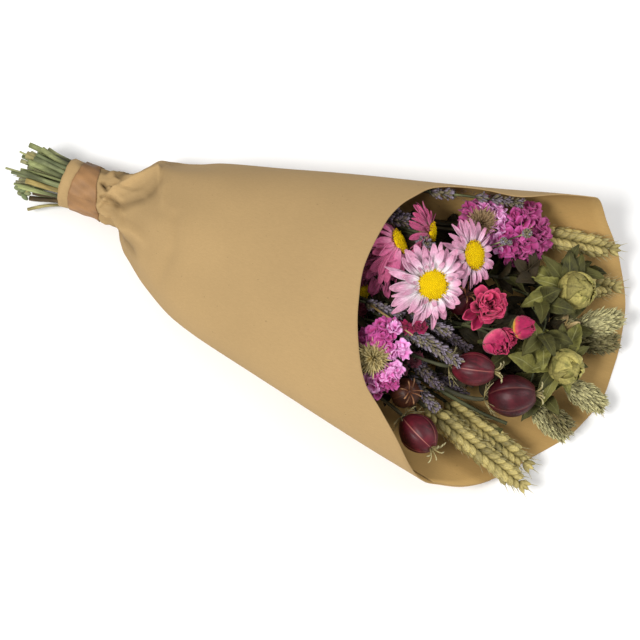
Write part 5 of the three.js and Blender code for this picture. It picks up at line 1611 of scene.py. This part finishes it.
def build_spare_stalks(stems):
    """Cut ends that fan out behind the neck round the tied stems, and a seed head among them."""
    batch = Batch(980)
    for i, (x, y, z, size, kind) in enumerate(CUT_ENDS):
        away = np.array([y, z - NECK_MIDDLE[1]])
        phi = math.atan2(away[1], away[0])
        way = np.array([math.cos(phi), math.sin(phi)])
        near = min(NECK_REACH - 0.4 * size, 0.75 * float(np.hypot(*away)))
        start = np.array([x, y, max(z, 2.5)])
        neck = np.array([NECK_ENTRY, *(near * way + NECK_MIDDLE)])
        end = np.array([NECK_EXIT, *((near - 0.6) * way + NECK_MIDDLE)])
        path = bow(start, neck, end, 14)
        t = np.linspace(0, 1, 14)
        path[:, 1] += 0.5 * np.sin(9 * t + i) * (1 - t)
        girth = size * (1 + 0.05 * np.sin(np.linspace(0, 14, 14))) * (1 - 0.25 * t)
        tone = batch.between(0, 0.5) if kind == 0 else batch.between(0, 1)
        batch.tube(path, girth, 10, STALK_KINDS[kind], tone, end_kind=CUT, bore=0.5 if i % 3 == 0 else 0)
    for i in range(8):
        place = np.array([-46, -17, 20.0]) + (1.1 * i, 2.2 * math.sin(2.1 * i), 1.6 * math.cos(1.7 * i))
        batch.bud(place, (1, 0.4 * math.sin(i), 0.5 * math.cos(2 * i)), 6, 1.8,
                  OWN + 2 if i % 3 == 1 else OWN, 8, ribs=0.25)
    fresh = [stem_finish("dark_stalk", (.47, .52, .36), (.55, .57, .40), False),
             stem_finish("brown_stalk", (.32, .25, .15), (.44, .36, .22), False),
             stem_finish("straw_stalk", (.70, .66, .44), (.66, .58, .34), False)]
    batch.build("spare_stalks", stems + fresh, "green_stem")


def build_filling(scene):
    stems = stem_set(scene)
    build_leaves(stems)
    build_sprays(stems)
    build_crimson()
    build_dried_buds(stems)
    build_spare_stalks(stems)


# Stage

# From the bouquet to the camera, the camera's place, and its lens and sensor in millimetres
CAMERA_BACK = np.array([0.1113, -0.3059, 0.9455])
CAMERA_PLACE = np.array([312.2, -378.5, 1080.1])
LENS, SENSOR = 92.81, 36.0
# What the lights aim at, and how far the floor lies under the bouquet, in metres
LIT_POINT = (0.02, 0, 0.04)
FLOOR_GAP = 0.0005


def add_light(name, place, size, energy, colour):
    """A round soft light that faces the bouquet."""
    data = bpy.data.lights.new(name, "AREA")
    data.shape, data.size, data.energy, data.color = "DISK", size, energy, colour
    light = bpy.data.objects.new(name, data)
    bpy.context.scene.collection.objects.link(light)
    light.location = place
    light.rotation_euler = (Vector(LIT_POINT) - Vector(place)).to_track_quat("-Z", "Y").to_euler()


def build_stage(scene):
    look = scene.bouquet_stage
    floor = Finish("pale_floor", 0.9)
    pale = floor.ramp(floor.noise(3, 3), (0.3, look.floor_colour), (0.7, scaled(look.floor_colour, 0.985)))
    mesh = bpy.data.meshes.new("floor")
    r = look.floor_size
    mesh.from_pydata([(-r, -r, 0), (r, -r, 0), (r, r, 0), (-r, r, 0)], [], [(0, 1, 2, 3)])
    mesh.materials.append(floor.done(pale))
    plane = bpy.data.objects.new("floor", mesh)
    scene.collection.objects.link(plane)
    plane.location.z = -FLOOR_GAP
    world = bpy.data.worlds.new("studio")
    world.use_nodes = True
    scene.world = world
    background = world.node_tree.nodes["Background"].inputs
    background["Color"].default_value = (1, 1, 1, 1)
    background["Strength"].default_value = look.fill
    add_light("key", (-0.45, -0.8, 1.4), 0.6, look.key_power, (1, 0.985, 0.96))
    add_light("side", (1.1, 0.5, 1.0), 0.9, 0.35 * look.key_power, (1, 1, 1))
    data = bpy.data.cameras.new("camera")
    data.lens, data.sensor_width = LENS, SENSOR
    data.clip_start, data.clip_end = 0.01, 20
    camera = bpy.data.objects.new("camera", data)
    scene.collection.objects.link(camera)
    camera.location = Vector(MM * (CAMERA_PLACE + SHIFT))
    camera.rotation_euler = (-Vector(CAMERA_BACK)).to_track_quat("-Z", "Y").to_euler()
    scene.camera = camera
    scene.view_settings.view_transform = "Standard"


# What a user would change

def tint(label, words, default):
    return FloatVectorProperty(name=label, description=words, subtype="COLOR_GAMMA", size=3,
                               min=0, max=1, default=default)


def measure(label, words, default, low, high):
    return FloatProperty(name=label, description=words, default=default, min=low, max=high, unit="LENGTH")


class BOUQUET_PG_paper(bpy.types.PropertyGroup):
    outer_colour: tint("Outside", "Colour of the paper's outside", (.675, .562, .388))
    # Partly painted light: warmer than the outside, for the light that bounces inside the cone
    inner_colour: tint("Inside", "Colour of the paper's inside", (.735, .597, .368))
    tape_colour: tint("Band", "Colour of the band round the neck", (.60, .447, .29))
    thickness: measure("Thickness", "How thick the paper is", 0.0005, 0.0002, 0.002)
    crease_depth: measure("Gathers", "How deep the small folds at the neck are", 0.001, 0.0, 0.003)


class BOUQUET_PG_flowers(bpy.types.PropertyGroup):
    daisy_colour: tint("Daisy petals", "Colour of the petals towards their tips", (.81, .43, .60))
    disc_colour: tint("Daisy middle", "Colour of the florets", (.98, .83, 0.0))
    statice_colour: tint("Statice", "Colour of the papery florets", (.81, .24, .56))
    lavender_colour: tint("Lavender", "Colour of the buds", (.51, .46, .49))
    pod_colour: tint("Seed pods", "Colour of the pods between their seams", (.33, .08, .125))
    rose_colour: tint("Roses", "Colour of the petals", (.74, .065, .345))


class BOUQUET_PG_greens(bpy.types.PropertyGroup):
    stem_colour: tint("Green stems", "Colour of the greenest stems", (.65, .68, .45))
    straw_colour: tint("Straw stems", "Colour of the driest stems", (.75, .73, .55))
    leaf_colour: tint("Leaves", "Colour of the leaves", (.44, .43, .195))
    bud_colour: tint("Safflower", "Colour of the bud scales", (.70, .655, .37))
    wheat_colour: tint("Wheat", "Colour of the husks", (.755, .69, .435))
    canary_colour: tint("Canary grass", "Colour of the glumes", (.86, .83, .61))


class BOUQUET_PG_stage(bpy.types.PropertyGroup):
    floor_colour: tint("Floor", "Colour of the floor", (.97, .97, .97))
    floor_size: measure("Floor reach", "From the middle of the floor to its edge", 6.0, 1.0, 20.0)
    fill: FloatProperty(name="Fill", description="Strength of the light from all round", default=0.52,
                        min=0, max=5)
    key_power: FloatProperty(name="Key", description="Power of the main soft light", default=24.5,
                             min=0, max=500, unit="POWER")


# Operators

class Builder:
    """Options that all the operators share"""
    bl_options = {"REGISTER", "UNDO"}


class BOUQUET_OT_wrap(Builder, bpy.types.Operator):
    """Builds the kraft paper wrap"""
    bl_idname = "bouquet.wrap"
    bl_label = "Paper Wrap"

    def execute(self, context):
        build_wrap(context.scene)
        return {"FINISHED"}


class BOUQUET_OT_neck(Builder, bpy.types.Operator):
    """Builds the band round the neck and finishes the twine"""
    bl_idname = "bouquet.neck"
    bl_label = "Neck Band and Twine"

    def execute(self, context):
        build_neck(context.scene)
        return {"FINISHED"}


class BOUQUET_OT_daisies(Builder, bpy.types.Operator):
    """Builds the daisies"""
    bl_idname = "bouquet.daisies"
    bl_label = "Daisies"

    def execute(self, context):
        build_daisies(context.scene)
        return {"FINISHED"}


class BOUQUET_OT_statice(Builder, bpy.types.Operator):
    """Builds the statice clusters"""
    bl_idname = "bouquet.statice"
    bl_label = "Statice"

    def execute(self, context):
        build_statice(context.scene)
        return {"FINISHED"}


class BOUQUET_OT_lavender(Builder, bpy.types.Operator):
    """Builds the lavender spikes"""
    bl_idname = "bouquet.lavender"
    bl_label = "Lavender"

    def execute(self, context):
        build_lavender(context.scene)
        return {"FINISHED"}


class BOUQUET_OT_nigella(Builder, bpy.types.Operator):
    """Builds the seed pods"""
    bl_idname = "bouquet.nigella"
    bl_label = "Seed Pods"

    def execute(self, context):
        build_nigella(context.scene)
        return {"FINISHED"}


class BOUQUET_OT_roses(Builder, bpy.types.Operator):
    """Builds the rosebuds and their branch"""
    bl_idname = "bouquet.roses"
    bl_label = "Roses"

    def execute(self, context):
        build_roses(context.scene)
        return {"FINISHED"}


class BOUQUET_OT_wheat(Builder, bpy.types.Operator):
    """Builds the ears of wheat"""
    bl_idname = "bouquet.wheat"
    bl_label = "Wheat"

    def execute(self, context):
        build_wheat(context.scene)
        return {"FINISHED"}


class BOUQUET_OT_safflower(Builder, bpy.types.Operator):
    """Builds the safflower buds and their leaves"""
    bl_idname = "bouquet.safflower"
    bl_label = "Safflower"

    def execute(self, context):
        build_safflower(context.scene)
        return {"FINISHED"}


class BOUQUET_OT_canary(Builder, bpy.types.Operator):
    """Builds the heads of canary grass"""
    bl_idname = "bouquet.canary"
    bl_label = "Canary Grass"

    def execute(self, context):
        build_canary(context.scene)
        return {"FINISHED"}


class BOUQUET_OT_foliage(Builder, bpy.types.Operator):
    """Builds the leafy stems"""
    bl_idname = "bouquet.foliage"
    bl_label = "Foliage"

    def execute(self, context):
        build_foliage(context.scene)
        return {"FINISHED"}


class BOUQUET_OT_filling(Builder, bpy.types.Operator):
    """Builds the leaves, sprays and stalks between the heads"""
    bl_idname = "bouquet.filling"
    bl_label = "Filling"

    def execute(self, context):
        build_filling(context.scene)
        return {"FINISHED"}


class BOUQUET_OT_stage(Builder, bpy.types.Operator):
    """Builds the floor, the lights and the camera"""
    bl_idname = "bouquet.stage"
    bl_label = "Stage"

    def execute(self, context):
        build_stage(context.scene)
        return {"FINISHED"}


OPERATORS = (BOUQUET_OT_wrap, BOUQUET_OT_neck, BOUQUET_OT_daisies, BOUQUET_OT_statice,
             BOUQUET_OT_lavender, BOUQUET_OT_nigella, BOUQUET_OT_roses, BOUQUET_OT_wheat,
             BOUQUET_OT_safflower, BOUQUET_OT_canary, BOUQUET_OT_foliage, BOUQUET_OT_filling,
             BOUQUET_OT_stage)
GROUPS = {"bouquet_paper": BOUQUET_PG_paper, "bouquet_flowers": BOUQUET_PG_flowers,
          "bouquet_greens": BOUQUET_PG_greens, "bouquet_stage": BOUQUET_PG_stage}


class BOUQUET_PT_panel(bpy.types.Panel):
    """Lists the sizes, the colours and the steps"""
    bl_idname = "BOUQUET_PT_panel"
    bl_label = "Dried Bouquet"
    bl_space_type = "VIEW_3D"
    bl_region_type = "UI"
    bl_category = "Bouquet"

    def draw(self, context):
        for name, group in GROUPS.items():
            box = self.layout.box()
            for setting in group.__annotations__:
                box.prop(getattr(context.scene, name), setting)
        for operator in OPERATORS:
            self.layout.operator(operator.bl_idname)


def register():
    for group in GROUPS.values():
        bpy.utils.register_class(group)
    for name, group in GROUPS.items():
        setattr(bpy.types.Scene, name, PointerProperty(type=group))
    for operator in (*OPERATORS, BOUQUET_PT_panel):
        bpy.utils.register_class(operator)


def unregister():
    for operator in (BOUQUET_PT_panel, *OPERATORS):
        bpy.utils.unregister_class(operator)
    for name, group in GROUPS.items():
        delattr(bpy.types.Scene, name)
        bpy.utils.unregister_class(group)


def main():
    register()
    bpy.ops.bouquet.wrap()
    bpy.ops.bouquet.neck()
    bpy.ops.bouquet.daisies()
    bpy.ops.bouquet.statice()
    bpy.ops.bouquet.lavender()
    bpy.ops.bouquet.nigella()
    bpy.ops.bouquet.roses()
    bpy.ops.bouquet.wheat()
    bpy.ops.bouquet.safflower()
    bpy.ops.bouquet.canary()
    bpy.ops.bouquet.foliage()
    bpy.ops.bouquet.filling()
    bpy.ops.bouquet.stage()


if __name__ == "__main__":
    main()
